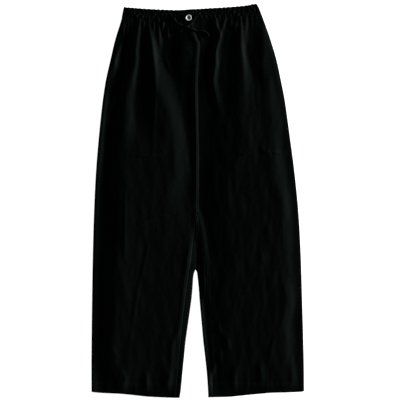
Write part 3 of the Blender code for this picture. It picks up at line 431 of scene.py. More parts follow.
# Small soft creases that run down the cloth
CREASES = {
    "left hip, upper strand": [
        # y, x, half width, height
        (427.3, -180.9, 5, 0), (399.8, -185.4, 5.5, 1.9), (374.8, -194.9, 6, 2.8),
        (347.3, -202.9, 6, 3), (327.3, -204.9, 6, 1.8), (302.3, -209.9, 5.5, 0.8),
        (282.3, -211.9, 5.5, 0),
    ],
    "left hip, lower strand": [
        (292.3, -197.4, 5.5, 0), (269.8, -200.4, 5.5, 2), (249.8, -205.9, 6, 2.4),
        (227.3, -212.9, 6, 1.3), (192.3, -221.9, 6, 0),
    ],
    "short gather, left of the tab": [
        (456, -82.9, 3.2, 0.8), (442.3, -83.1, 3.2, 1.3), (424.8, -83.6, 3.2, 0),
    ],
    "second short gather, left of the tab": [
        (453.5, -66.4, 3.4, 0.6), (437.3, -67.9, 3.6, 1.6), (419.8, -69.9, 3.6, 1.2),
        (407.3, -70.9, 3.4, 0),
    ],
    "third short gather, left of the tab": [
        (451, -58.4, 3, 0.5), (437.3, -60.9, 3, 0.9), (424.8, -61.9, 3, 0),
    ],
    "short gather, right of the middle": [
        (419.8, -2.9, 3.4, 0), (407.3, -3.9, 3.6, 1.6), (392.3, -1.9, 3.6, 0),
    ],
    "second short gather, right of the middle": [
        (422.3, 6.6, 3.2, 0), (409.8, 9.1, 3.2, 1.3), (399.8, 11.1, 3.2, 0),
    ],
    "short gather, between the right pleats": [
        (453.5, 85.1, 3.2, 0.7), (442.3, 88.6, 3.2, 1.4), (424.8, 92.6, 3.2, 0),
    ],
    "second short gather, between the right pleats": [
        (456, 101.1, 3, 0.6), (442.3, 99.6, 3, 1.2), (427.3, 97.1, 3, 0),
    ],
    "gather under the band, first": [
        (452.3, -133.1, 3.6, 0), (442.3, -133.1, 3.6, 2.1), (427.3, -133.1, 3.6, 2.1),
        (412.3, -135.6, 3.6, 0),
    ],
    "gather under the band, second": [
        (454.8, -105.6, 3.6, 0), (444.8, -106.9, 3.6, 1.9), (432.3, -108.1, 3.6, 1.9),
        (419.8, -109.4, 3.6, 0),
    ],
    "gather under the band, third": [
        (452.3, -84.4, 3.6, 0), (442.3, -84.4, 3.6, 2.5), (429.8, -85.6, 3.6, 2.5),
        (419.8, -86.9, 3.6, 0),
    ],
    "gather under the band, fourth": [
        (444.8, -73.1, 3.6, 0), (432.3, -73.1, 3.6, 2.8), (417.3, -73.1, 3.6, 2.8),
        (399.8, -71.9, 3.6, 0),
    ],
    "gather under the band, fifth": [
        (452.3, -63.1, 3.6, 0), (442.3, -63.1, 3.6, 2.4), (432.3, -63.1, 3.6, 2.4),
        (417.3, -61.9, 3.6, 0),
    ],
    "gather under the band, sixth": [
        (449.8, -43.1, 3.6, 0), (439.8, -41.9, 3.6, 1.8), (432.3, -38.1, 3.6, 1.8),
        (422.3, -34.4, 3.6, 0),
    ],
    "gather under the band, seventh": [
        (447.3, -181.9, 3.6, 0), (434.8, -183.1, 3.6, 1.4), (422.3, -184.4, 3.6, 1.4),
        (407.3, -186.9, 3.6, 0),
    ],
    "gather under the band, eighth": [
        (452.3, 48.1, 3.6, 0), (442.3, 48.1, 3.6, 1.6), (429.8, 48.1, 3.6, 1.6), (417.3, 48.1, 3.6, 0),
    ],
    "gather under the band, ninth": [
        (454.8, 83.1, 3.6, 0), (444.8, 84.4, 3.6, 2), (434.8, 85.6, 3.6, 2), (424.8, 85.6, 3.6, 0),
    ],
    "gather under the band, tenth": [
        (454.8, 96.9, 3.6, 0), (444.8, 96.9, 3.6, 2), (434.8, 95.6, 3.6, 2), (424.8, 94.4, 3.6, 0),
    ],
    "left hem crinkle, fourth": [
        (-417.8, -123.1, 6, 0), (-437.7, -124.4, 6, 1.1), (-462.7, -125.6, 6, 1.1),
        (-482.8, -126.9, 6, 0),
    ],
    "left hem crinkle, by the inseam": [
        (-392.7, -79.4, 11, 0), (-422.8, -74.4, 11, 1.7), (-457.7, -74.4, 11, 1.7),
        (-485.3, -74.4, 11, 0),
    ],
    "right hem, outer side": [
        (-402.7, 245.6, 12, 0), (-427.8, 245.6, 12, 1.2), (-457.7, 243.1, 12, 1.2),
        (-485.3, 240.6, 12, 0),
    ],
    "left inner strip": [
        (-97.7, -15.9, 7, 0), (-125.3, -17.1, 7, 1.4), (-190.3, -28.6, 6.5, 1.2),
        (-255.2, -35.6, 6.5, 1.1), (-320.2, -43.4, 7.5, 1.5), (-362.8, -58, 8.5, 1.9),
        (-410, -60, 8.5, 2.1), (-447.7, -64.5, 9, 1.8), (-464, -65.5, 9, 1.2), (-483, -66, 8, 0),
    ],
    "right inner strip": [
        (-12.7, 2.1, 5, 0), (-27.7, 4.6, 6.5, 1.8), (-40.2, 7.6, 8.5, 2.6), (-60.2, 10.6, 10, 3),
        (-85.2, 14.6, 10.5, 3), (-110.2, 18.6, 10.5, 2.8), (-135.2, 20.6, 10.5, 2.8),
        (-160.2, 21.9, 9.5, 2.6), (-185.2, 21.9, 8.5, 2), (-210.2, 21.4, 8, 2), (-235.2, 20.9, 7, 0.6),
        (-260.2, 20, 6, 0),
    ],
    "right inseam lip": [
        (-235.2, 9.4, 5, 0), (-260.2, 11.9, 5, 2), (-297.7, 14.9, 4.5, 2.2), (-347.7, 20.1, 5, 2.4),
        (-392.7, 23.9, 5, 1.8), (-417.7, 25.6, 5, 0),
    ],
    "right hem, inner corner": [
        (-412.7, 32.6, 8, 0), (-432.7, 32.6, 8, 2.4), (-457.7, 33.6, 8, 3), (-480, 34.6, 8, 2),
        (-490, 34.6, 8, 0),
    ],
    "left hem crinkle": [
        (-352.8, -211.9, 6, 0), (-372.7, -206.9, 6.5, 0.9), (-387.7, -198.4, 6.5, 1),
        (-405.2, -199.4, 6.5, 0.7), (-422.8, -188.4, 7, 0.6), (-440.2, -176.4, 7, 1.3),
        (-460.2, -179.9, 7, 1.3), (-476.5, -182.9, 7, 0),
    ],
    "left hem crinkle, middle": [
        (-425.3, -127.4, 7, 0), (-445.2, -123.9, 7, 0.9), (-462.7, -120.4, 7, 1.1),
        (-477.8, -120.4, 7, 0),
    ],
    "left hem crinkle, inner": [
        (-412.8, -72.9, 7, 0), (-440.2, -65.4, 7, 0.9), (-460.2, -71.9, 7, 1), (-477.8, -72.9, 7, 0),
    ],
    "right hem crinkle, inner": [
        (-407.8, 45.6, 6, 0), (-425.3, 41.1, 6, 1.1), (-442.7, 32.6, 6.5, 1.5),
        (-465.2, 33.1, 6.5, 1.2), (-481.5, 35.6, 6, 0),
    ],
    "right shin crinkle": [
        (-297.8, 55.6, 5, 0), (-320.2, 57.1, 5, 1.5), (-340.2, 63.1, 5, 0),
    ],
    "right shin crinkle, second": [
        (-332.7, 75.6, 5, 0), (-355.3, 78.6, 5.5, 1.6), (-377.7, 80.6, 5, 0),
    ],
    "right shin crinkle, third": [
        (-362.8, 61.6, 5, 0), (-385.2, 60.1, 5.5, 1.5), (-407.8, 58.6, 5, 0),
    ],
    "right hem crinkle, middle": [
        (-407.8, 102.1, 7, 0), (-430.3, 98.6, 7.5, 1.5), (-452.7, 95.1, 7.5, 1.5), (-475.3, 95.6, 7, 0),
    ],
    "right hem crinkle, outer": [
        (-400.2, 161.6, 7, 0), (-422.8, 161.1, 7.5, 1.6), (-442.7, 162.1, 7.5, 1.4),
        (-467.7, 159.6, 7, 0),
    ],
    "right hem crinkle, under the side": [
        (-347.8, 190.6, 7, 0), (-372.7, 187.1, 7.5, 1.4), (-397.7, 183.1, 7.5, 0.9),
        (-420.3, 180.6, 7, 0),
    ],
    "right crossing crinkle, first": [
        (139, 160.1, 3.5, 0), (132, 164.1, 3.5, 0.8), (122, 170.1, 3.5, 0.7), (112, 174.1, 3.5, 0),
    ],
    "right crossing crinkle, second": [
        (135, 179.1, 3.5, 0), (127, 176.1, 3.5, 0.7), (118, 180.1, 3.5, 0.6), (108, 183.1, 3.5, 0),
    ],
    "right side roll, above the shin": [
        (-207.8, 237.1, 7, 0), (-237.8, 239.6, 7, 1.2), (-262.8, 239.1, 7, 1.1), (-290.3, 235.1, 7, 0),
    ],
    "right side roll, above the hem": [
        (-367.8, 234.6, 7, 0), (-395.3, 239.1, 7, 1), (-420.3, 241.1, 7.5, 1.3),
        (-445.3, 241.1, 7.5, 1.1), (-465.3, 239.6, 7, 0),
    ],
    "right shin, soft light": [
        (-117.7, 162.1, 7, 0), (-142.7, 165.6, 8, 0.9), (-167.7, 170.6, 8, 0),
    ],
}

# Small soft creases that run across the cloth
CROSS_CREASES = {
    "right crossing crease, inner": [
        # x, y, half width, height
        (100.6, 116, 3, 0), (113.1, 114.8, 3, 1.2), (125.6, 117.3, 3, 1.2), (140.6, 122.3, 3, 0),
    ],
    "right crossing crease, outer": [
        (143.1, 121.3, 4.5, 0), (168.1, 119.8, 4.5, 0.8), (185.6, 119.8, 4, 1), (208.1, 117.3, 4, 1),
        (225.6, 119.8, 4, 0),
    ],
    "left crossing crease": [
        (-164.4, 107.3, 3, 0), (-144.4, 109.8, 3, 1.1), (-119.4, 109.8, 3, 1.2), (-99.4, 112.3, 3, 0.6),
        (-84.4, 112.3, 3, 0),
    ],
    "left thigh curve": [
        (-154.4, -62.7, 4, 0), (-136.9, -57.7, 4, 1), (-111.9, -45.2, 4, 1), (-86.9, -40.2, 4, 0.8),
        (-69.4, -42.7, 4, 0),
    ],
}

# A fold's table gives its lit right flank; its crest lies this share of the half width to the left
FLANK = 0.7

# Fine relief of the cloth
HEM_ROW_BELOW = 1.5 * MM
SEAM_DIP = 0.45 * MM
SEAM_DIP_WIDTH = 1.1 * MM
ALLOWANCE_RISE = 0.35 * MM
ALLOWANCE_WIDTH = 9 * MM
DRAPE_RISE = 0.35 * MM
DRAPE_WIDTH = 34 * MM
CRINKLE_RISE = 0.10 * MM
CRINKLE_WIDTH = 11 * MM
HEM_PUCKER = 0.10 * MM
HEM_PUCKER_PITCH = 13 * MM
SHARP_GATHER_RISE = 0.5 * MM
SHARP_GATHER_REACH = 24 * MM
RIGHT_STREAKS = 0.7
STREAK_RISE = 0.11 * MM
STREAK_WIDTH = 14 * MM
RIM_RISE = 0.9 * MM
RIM_WIDTH = 5.5 * MM

# Millimetres from a seam at which the cloth has a column of points, before they become even
SEAM_COLUMNS = [0.0, 0.5, 1.0, 1.6, 2.4, 3.6, 5.2, 7.0, 8.4, 9.2, 10.0, 11.2]
# Millimetres above the hem's edge at which it has a row
HEM_ROWS = [0.0, 0.4, 0.9, 1.7, 3.0, 5.5, 9.0, 13.0, 17.0, 20.5, 23.0]
HEM_ROWS += [24.6, 25.6, 26.4, 27.4, 29.0, 31.5]
# How finely the panels, their rolled edges and the strips between the legs are divided
PANEL_COLUMN = 2.7 * MM
ROLL_STEPS = 7
STRIP_STEPS = 18
INNER_TURNS = 9
FLOOR_STEPS = 56
# Stitches
STITCH_WIDTH = 0.45 * MM
TAB_STITCH_INSET = 2.4 * MM


def cubic(t, span, start, end, leaving, arriving):
    """A cubic piece from start to end over a span, with the slopes that it leaves and arrives with."""
    return (
        start * (2 * t**3 - 3 * t**2 + 1)
        + span * leaving * (t**3 - 2 * t**2 + t)
        + end * (3 * t**2 - 2 * t**3)
        + span * arriving * (t**3 - t**2)
    )


def through(keys, values, at):
    """A smooth curve through values at rising keys."""
    ahead = np.append(np.arange(1, len(keys)), len(keys) - 1)
    behind = np.append(0, np.arange(len(keys) - 1))
    slope = (values[ahead] - values[behind]) / (keys[ahead] - keys[behind])
    at = np.clip(np.asarray(at, float), keys[0], keys[-1])
    i = np.clip(np.searchsorted(keys, at, side="right") - 1, 0, len(keys) - 2)
    span = keys[i + 1] - keys[i]
    return cubic((at - keys[i]) / span, span, values[i], values[i + 1], slope[i], slope[i + 1])


def curve(table, at, column):
    """A smooth curve through one column of a table, read at many values of its first column."""
    rows = MM * np.array(sorted(table))
    return through(rows[:, 0], rows[:, column], at)


def ease(value):
    """0 to 1 with soft ends."""
    held = np.clip(value, 0.0, 1.0)
    return held * held * (3 - 2 * held)


def bell(distance, width):
    """1 at no distance, falling softly to 0 beyond the width."""
    return np.exp(-((distance / width) ** 2))


def uneven(x, y, size, seed):
    """Soft irregular relief from about -1 to 1, whose bumps are about size wide."""
    total = 0.0
    for k in range(8):
        turn = seed + 2.399963 * k
        pitch = size * (0.75 + 0.16 * k)
        along = x * math.cos(turn) + y * math.sin(turn)
        beside = y * math.cos(turn) - x * math.sin(turn)
        bend = 1.3 * np.sin(beside / size * 1.7 + seed * k)
        total = total + np.sin(2 * math.pi * along / pitch + bend + 5.1 * seed * k)
    return total / 3.2


# The garment's outline and lines


def outer_x(y, side):
    return curve(OUTER_EDGES, y, 1 if side == LEFT else 2)


def inner_x(y, side):
    return curve(INNER_EDGES, y, 1 if side == LEFT else 2)


def inseam_x(y, side):
    return curve(INSEAMS, y, 1 if side == LEFT else 2)


def middle_x(y):
    return curve(MIDDLE, y, 1)


def waist_seam_y(x):
    return curve(WAIST_TOP, x, 1) - BAND_HEIGHT


def inner_line(y, side):
    """The fold between the legs, or above the crotch the middle seam."""
    return np.where(y < CROTCH_FOLD_Y, inner_x(y, side), middle_x(y))


def real_y(x, row_y):
    """Bends the straight rows to the hem line at the bottom and to the waist seam at the top."""
    to_hem = 1 - ease((row_y - HEM_FLAT) / HEM_BEND)
    to_waist = 1 - ease((WAIST_FLAT - row_y) / WAIST_BEND)
    bent = row_y + (curve(HEM_LINE, x, 1) - HEM_FLAT) * to_hem
    return bent + (waist_seam_y(x) + INTO_BAND - WAIST_FLAT) * to_waist


# The garment's heights


def thickness(y):
    """The cloth's thickness, doubled and pressed in the hem."""
    return CLOTH + (HEM_CLOTH - CLOTH) * (1 - ease((y - HEM_FLAT - HEM_DEPTH) / HEM_STEP))


def ruffle(x, shift=0.0):
    """The ruffles' wave along the band, whose spacing drifts."""
    drift = sum(turn * np.sin(x / length + shift) for length, turn in RUFFLE_DRIFTS)
    return np.cos(2 * math.pi * x / RUFFLE_PITCH + drift + shift)


def gathered(x):
    """How freely the cloth gathers: little below the flat tab, where it is held."""
    return 1 - 0.8 * bell(x - GATHERS_HELD_AT, GATHERS_HELD_REACH)


def gathers(x, y):
    """The broad gathers below the waistband, which follow its ruffle."""
    below = np.maximum(waist_seam_y(x) - y, 0)
    unevenly = 0.5 + 0.3 * np.sin(x / GATHER_DRIFT) + 0.2 * np.sin(x / (0.43 * GATHER_DRIFT) + 1.2)
    return GATHER_RISE * bell(below, GATHER_REACH) * unevenly * gathered(x) * (0.5 + 0.5 * ruffle(x))


def ridges(table, along, across, flank):
    """The sum of soft ridges: along is the first column's direction."""
    total = np.zeros(np.broadcast(along, across).shape)
    for rows in table.values():
        inside = (along > MM * min(rows)[0]) & (along < MM * max(rows)[0])
        width = curve(rows, along, 2)
        middle = curve(rows, along, 1) - flank * width
        total = total + np.where(inside, curve(rows, along, 3) * bell(across - middle, width), 0)
    return total


def near_edge(x, y):
    """1 at the rolled edges of the garment, 0 well inside it."""
    nearest = np.minimum(x - outer_x(y, LEFT), outer_x(y, RIGHT) - x)
    between = np.minimum(np.abs(x - inner_x(y, LEFT)), np.abs(x - inner_x(y, RIGHT)))
    apex = np.hypot(x - middle_x(CROTCH_FOLD_Y), y - CROTCH_FOLD_Y)
    nearest = np.minimum(nearest, np.where(y < CROTCH_FOLD_Y, between, apex))
    return bell(np.maximum(nearest, 0), EDGE_LOFT_REACH)


def climb_to_band(x, y):
    """0 down the legs, 1 at the waist seam."""
    return 1 - ease((waist_seam_y(x) - y) / WAIST_RISE_REACH)


def section(places, heights, x):
    """A smooth cross-section through a few places whose own x and height change along the leg."""
    places = np.stack(np.broadcast_arrays(*places))
    heights = np.stack(np.broadcast_arrays(*heights))
    last = len(places) - 1
    x = np.clip(x, places[0], places[-1])
    steep = np.diff(heights, axis=0) / np.diff(places, axis=0)
    same = steep[:-1] * steep[1:] > 0
    both = np.where(same, steep[:-1] + steep[1:], 1.0)
    bend = np.where(same, 2 * steep[:-1] * steep[1:] / both, 0.0)
    slope = np.concatenate([steep[:1], bend, steep[-1:]])
    total = np.zeros(np.broadcast(x, places[0]).shape)
    for i in range(last):
        span = places[i + 1] - places[i]
        t = (x - places[i]) / span
        part = cubic(t, span, heights[i], heights[i + 1], slope[i], slope[i + 1])
        total = np.where((t >= 0) & (t <= 1), part, total)
    return total


def crown(x, y):
    """The broad crown of each leg, where the air and the gathered cloth hold it up."""
    seam, foot = curve(MIDDLE_CROWN, y, 1), curve(MIDDLE_CROWN, y, 2)
    places, heights = ([curve(LEFT_CROWN, y, k) for k in columns] for columns in (CROWN_X, CROWN_HEIGHT))
    left = section([outer_x(y, LEFT)] + places + [inner_line(y, LEFT)], [0 * y] + heights + [seam], x)
    start = inner_line(y, RIGHT)
    foot = foot + FOOT_UNEVEN * uneven(0 * x, y, 24 * MM, 4.4) * ease(foot / (1.5 * MM))
    places, heights = ([curve(RIGHT_CROWN, y, k) for k in columns] for columns in (CROWN_X, CROWN_HEIGHT))
    places = [start, start + FOOT_REACH] + places + [outer_x(y, RIGHT)]
    right = section(places, [seam, foot] + heights + [0 * y], x)
    return np.where(x < middle_x(y), left, right)


def side_roll(x, y):
    """The soft roll in which the left side is folded."""
    return curve(LEFT_ROLL, y, 1) * bell(x - outer_x(y, LEFT), curve(LEFT_ROLL, y, 2))


def lying_height(x, y):
    """The middle of the top cloth: flat on the bottom cloth, climbing to the band, soft at its edges."""
    lying = 1.5 * thickness(y) + SEAM_GAP
    climb = climb_to_band(x, y)
    edge = near_edge(x, y)
    base = lying + (1.5 * BAND_THICK + SEAM_GAP - lying) * climb
    folds = ridges(FOLDS, y, x, FLANK)
    soft_edges = EDGE_LOFT * edge * (1 - climb) + side_roll(x, y)
    return base + soft_edges + (gathers(x, y) + folds) * (1 - edge) + crown(x, y)


def seam_relief(distance):
    """Beside a seam the cloth dips into it, then lies over the allowance."""
    dip = -SEAM_DIP * bell(distance, SEAM_DIP_WIDTH)
    over = ease(distance / (1.6 * MM)) * (1 - ease((distance - ALLOWANCE_WIDTH) / (1.8 * MM)))
    return dip + ALLOWANCE_RISE * over


def seams(x, y):
    """The dips and ridges of the middle seam and the two inseams."""
    to_left = middle_x(y) - x
    above = ease((y - CROTCH_FOLD_Y) / (3 * MM))
    total = above * np.where(to_left > 0, seam_relief(to_left), -SEAM_DIP * bell(to_left, SEAM_DIP_WIDTH))
    for side in (LEFT, RIGHT):
        beside = (x - inseam_x(y, side)) * side
        below = 1 - ease((y - FOUR_SEAMS_Y) / (4 * MM))
        total = total + below * np.where(
            beside > 0, seam_relief(beside), -SEAM_DIP * bell(beside, SEAM_DIP_WIDTH)
        )
    return total


def small_gathers(x, y):
    """Narrow gathers of unequal length that fan out below the waist seam."""
    below = np.maximum(waist_seam_y(x) - y, 0)
    fan = x * (1 - 0.35 * below)
    drift = 2.6 * np.sin(fan / (19 * MM)) + 1.1 * np.sin(fan / (7.3 * MM))
    wave = np.cos(2 * math.pi * fan / (9.6 * MM) + drift)
    length = SHARP_GATHER_REACH * (0.55 + 0.45 * np.sin(fan / (9.1 * MM) + 2.0))
    fade = np.exp(-below / np.maximum(length, 7 * MM))
    return SHARP_GATHER_RISE * gathered(x) * fade * np.maximum(wave, 0) ** 1.5


def hem_relief(x, y):
    """The turned hem: a rounded edge, a step at its top and small puckers along its stitches."""
    up = y - curve(HEM_LINE, x, 1)
    edge = -1.0 * MM * bell(up, 1.3 * MM)
    row = -0.12 * MM * bell(up - HEM_DEPTH + HEM_ROW_BELOW, 1.4 * MM)
    pucker = HEM_PUCKER * np.sin(2 * math.pi * x / HEM_PUCKER_PITCH + 2 * np.sin(x / (29 * MM)))
    return edge + row + pucker * bell(up - HEM_DEPTH + 4 * MM, 15 * MM)


def side_rim(x, y):
    """A low uneven lip inside the left side seam, where the folded edge springs up."""
    inside = x - outer_x(y, LEFT)
    lip = bell(inside - 5.0 * MM, RIM_WIDTH) * ease((y + 0.30) / 0.12)
    return RIM_RISE * lip * (0.8 + 0.35 * uneven(0 * x, y, 48 * MM, 1.9))


def relief(x, y):
    """All the small relief of the front."""
    calm = 1 - near_edge(x, y)
    hanging = uneven(x, 0.42 * y, DRAPE_WIDTH, 0.7) * DRAPE_RISE
    crinkle = uneven(x, y, CRINKLE_WIDTH, 2.9) * CRINKLE_RISE
    stronger = 1 + RIGHT_STREAKS * ease(x / (60 * MM))
    streaks = uneven(x, 0.22 * y, STREAK_WIDTH, 5.3) * STREAK_RISE * stronger
    creases = ridges(CREASES, y, x, FLANK) + ridges(CROSS_CREASES, x, y, -FLANK)
    soft = (hanging + crinkle + streaks + small_gathers(x, y)) * calm
    return soft + creases + side_rim(x, y) + seams(x, y) + hem_relief(x, y)


def front_face(x, y):
    """The upper face of the front cloth."""
    return lying_height(x, y) + thickness(y) / 2 + relief(x, y)


def rounded(share, power):
    """1 across a face, falling to 0 at both of its edges."""
    return (1 - np.abs(2 * share - 1) ** power) ** 0.5


def band_wave(x, share, shift):
    """The band's ruffle in three tiers between its edges and two stitched rows, each a little off."""
    # Lengths with no common measure keep the ruffles from repeating
    tier = (share > BAND_ROWS[0]) * 1.0 + (share > BAND_ROWS[1]) * 1.0
    offset = tier * 1.9 + 1.6 * np.sin(x / (19 * MM) + 2.3 * tier) + 1.2 * np.sin(x / (6.7 * MM) + tier)
    pitch = RUFFLE_PITCH * (1.0 - 0.12 * (tier == 1))
    wave = 0.5 + 0.5 * np.cos(2 * math.pi * x / pitch + offset + shift)
    size = 0.5 + 0.34 * np.sin(x / (12.7 * MM) + 1.7 * tier + shift)
    size = size + 0.3 * np.sin(x / (31 * MM) + 2.9 * tier)
    size = size + 0.35 * np.sin(x / (4.3 * MM) + 2.2 * tier) * np.sin(x / (9.1 * MM) + tier)
    size = size * (0.35 + 0.65 * ease((x - BAND_LEFT - 12 * MM) / (22 * MM)))
    fine = 0.5 + 0.5 * np.cos(2 * math.pi * x / (6.1 * MM) + 2.2 * np.sin(x / (17 * MM)) + 2 * tier)
    held = 1 - 0.9 * bell(share - BAND_ROWS[0], 0.05) - 0.9 * bell(share - BAND_ROWS[1], 0.05)
    return (2 * size * wave**1.3 - 0.9 + 0.45 * fine) * held


def band_face(x, share, low, thick, shift, ruffled=1.0):
    """The upper face of a waistband at a share of its height."""
    round_off = rounded(share, 9)
    rows = bell(share - BAND_ROWS[0], 0.035) + bell(share - BAND_ROWS[1], 0.035)
    flat = low + thick / 2 + (thick / 2 + 0.3 * MM * ruffled) * round_off
    wave = 0.95 * RUFFLE_RISE * band_wave(x, share, shift) * round_off
    return flat + (wave - 0.6 * MM * rows) * ruffled


# Making the pieces


def mesh_from(name, shape):
    mesh = bpy.data.meshes.new(name)
    shape.to_mesh(mesh)
    shape.free()
    return mesh


def piece_from(name, mesh, finish):
    """A smooth piece of one finish, fixed to the part."""
    mesh.shade_smooth()
    mesh.materials.append(finish)
    piece = bpy.data.objects.new(name, mesh)
    bpy.context.scene.collection.objects.link(piece)
    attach(piece, "root")
    return piece


def cloth_mesh(name, grids, thick, flip, finish):
    """Joins grids of points on the outer face into one sheet, with its thickness on the inner side."""
    shape = bmesh.new()
    for grid in grids:
        rows = [[shape.verts.new(point) for point in row] for row in grid]
        for low, high in zip(rows, rows[1:]):
            for a, b, c, d in zip(low, low[1:], high[1:], high):
                shape.faces.new((a, d, c, b) if flip else (a, b, c, d))
    bmesh.ops.remove_doubles(shape, verts=shape.verts, dist=0.02 * MM)
    piece = piece_from(name, mesh_from(name, shape), finish)
    body = piece.modifiers.new("cloth thickness", "SOLIDIFY")
    body.thickness = thick
    body.offset = -1
    return piece


def grid_of(x, y, z):
    """Points from their coordinates, row by row."""
    return np.stack(np.broadcast_arrays(x, y, z), axis=-1)


def fine_rows(start, end, step):
    """Even values from start to end, about one step apart."""
    return list(np.linspace(start, end, max(2, round((end - start) / step) + 1)))


def front_row_heights():
    """Rows close together at the hem, the crotch and the waist."""
    rows = [HEM_FLAT + MM * up for up in HEM_ROWS]
    rows += fine_rows(rows[-1], -185 * MM, 3.4 * MM)[1:]
    rows += fine_rows(-185 * MM, CROTCH_FOLD_Y, 1.4 * MM)[1:]
    rows += fine_rows(CROTCH_FOLD_Y, STRIP_TOP_Y, 2.8 * MM)[1:]
    rows += [FOUR_SEAMS_Y]
    rows += fine_rows(FOUR_SEAMS_Y, 100 * MM, 2.8 * MM)[1:]
    rows += fine_rows(100 * MM, 130 * MM, 1.5 * MM)[1:]
    rows += fine_rows(130 * MM, 335 * MM, 2.8 * MM)[1:]
    rows += fine_rows(335 * MM, WAIST_FLAT - 4 * MM, 2.0 * MM)[1:]
    rows += [WAIST_FLAT - 2.6 * MM, WAIST_FLAT - 1.4 * MM, WAIST_FLAT - 0.6 * MM, WAIST_FLAT]
    return np.array(rows)


def roll_points(x_edge, y, side, angles, low, high):
    """The outer face of a rolled edge: angle 0 is on top, a half turn is underneath."""
    half = thickness(y) / 2
    radius = (high - low) / 2
    x = x_edge - side * (half + radius) + side * (radius + half) * np.sin(angles)
    z = low + radius + (radius + half) * np.cos(angles)
    return grid_of(x, y, z)


def side_edge(row_y, side):
    """Where the side edge of each row lies: its y, its x, and the heights of the cloth below and above."""
    y = real_y(outer_x(row_y, side), row_y)
    x_edge = outer_x(y, side)
    return y, x_edge, thickness(y) / 2, lying_height(x_edge - side * EDGE_INSET, y)


def inner_edge(row_y, side):
    """The same for the fold between the legs."""
    y = real_y(inner_x(row_y, side), row_y)
    x_edge = inner_x(y, side)
    return y, x_edge, thickness(y) / 2, lying_height(x_edge + side * EDGE_INSET, y)


def column_offsets(width, step):
    """Distances from a seam across a piece, close together beside the seam, then even."""
    near = np.array(SEAM_COLUMNS) * MM
    count = round((np.max(width) - near[-1]) / step)
    rest = np.linspace(0, 1, count + 1)[1:]
    far = near[-1] + (width[:, None] - near[-1]) * rest
    return np.hstack([np.broadcast_to(near, (len(width), len(near))), far])


def turned_under(face, side):
    """The seam allowance: from the first column the cloth turns down and lies back under itself."""
    edge = face[:, :1]
    back = np.array([side * 3.5 * MM, 0.0, -1.9 * MM])
    down = np.array([0.0, 0.0, -1.4 * MM])
    return np.concatenate([edge + back, edge + down], axis=1)


def front_panel(side, finish):
    """One front: from the middle seam or inseam over the leg and down to the side seam."""
    row_y = front_row_heights()
    y_side, x_edge, low, high = side_edge(row_y, side)
    start = x_edge - side * (thickness(y_side) / 2 + (high - low) / 2)
    seam = np.where(row_y >= FOUR_SEAMS_Y, middle_x(row_y), inseam_x(row_y, side))
    width = (start - seam) * side
    x = seam[:, None] + side * column_offsets(width, PANEL_COLUMN)
    share = np.abs(x - seam[:, None]) / width[:, None]
    y = real_y(x, row_y[:, None])
    at_edge = ease(1 - (1 - share) / EDGE_SHARE)
    top = lying_height(x, y) * (1 - at_edge) + high[:, None] * at_edge + thickness(y) / 2
    z = top + relief(x, y) * (1 - at_edge)
    angles = math.pi / 2 * np.arange(1, ROLL_STEPS + 1) / ROLL_STEPS
    roll = roll_points(x_edge[:, None], y_side[:, None], side, angles, low[:, None], high[:, None])
    under = turned_under(grid_of(x, y, z), side)
    grid = np.concatenate([under, grid_of(x, y, z), roll], axis=1)
    name = "front_left_cloth" if side == LEFT else "front_right_cloth"
    piece = cloth_mesh(name, [grid], PANEL_SHELL, side == LEFT, finish)
    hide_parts("front_left" if side == LEFT else "front_right")
    return piece


def underside_relief(x, y):
    """Soft hollows, seams and the hem on the side that lies on the surface; it never goes below it."""
    wave = np.maximum(uneven(x, 0.3 * y, 46 * MM, 4.2) - 0.35, 0) * 0.9 * MM
    middle = 0.45 * MM * bell(x - middle_x(y), SEAM_DIP_WIDTH) * (y > CROTCH_FOLD_Y)
    up = y - curve(HEM_LINE, x, 1)
    row = 0.25 * MM * bell(up - HEM_DEPTH + HEM_ROW_BELOW, 1.4 * MM)
    turned = 1.0 * MM * bell(up, 1.3 * MM)
    down = np.maximum(waist_seam_y(x) - y, 0)
    gather = 1.1 * MM * bell(down, GATHER_REACH) * (0.5 + 0.5 * ruffle(x, BACK_SHIFT))
    return wave + middle + row + turned + gather


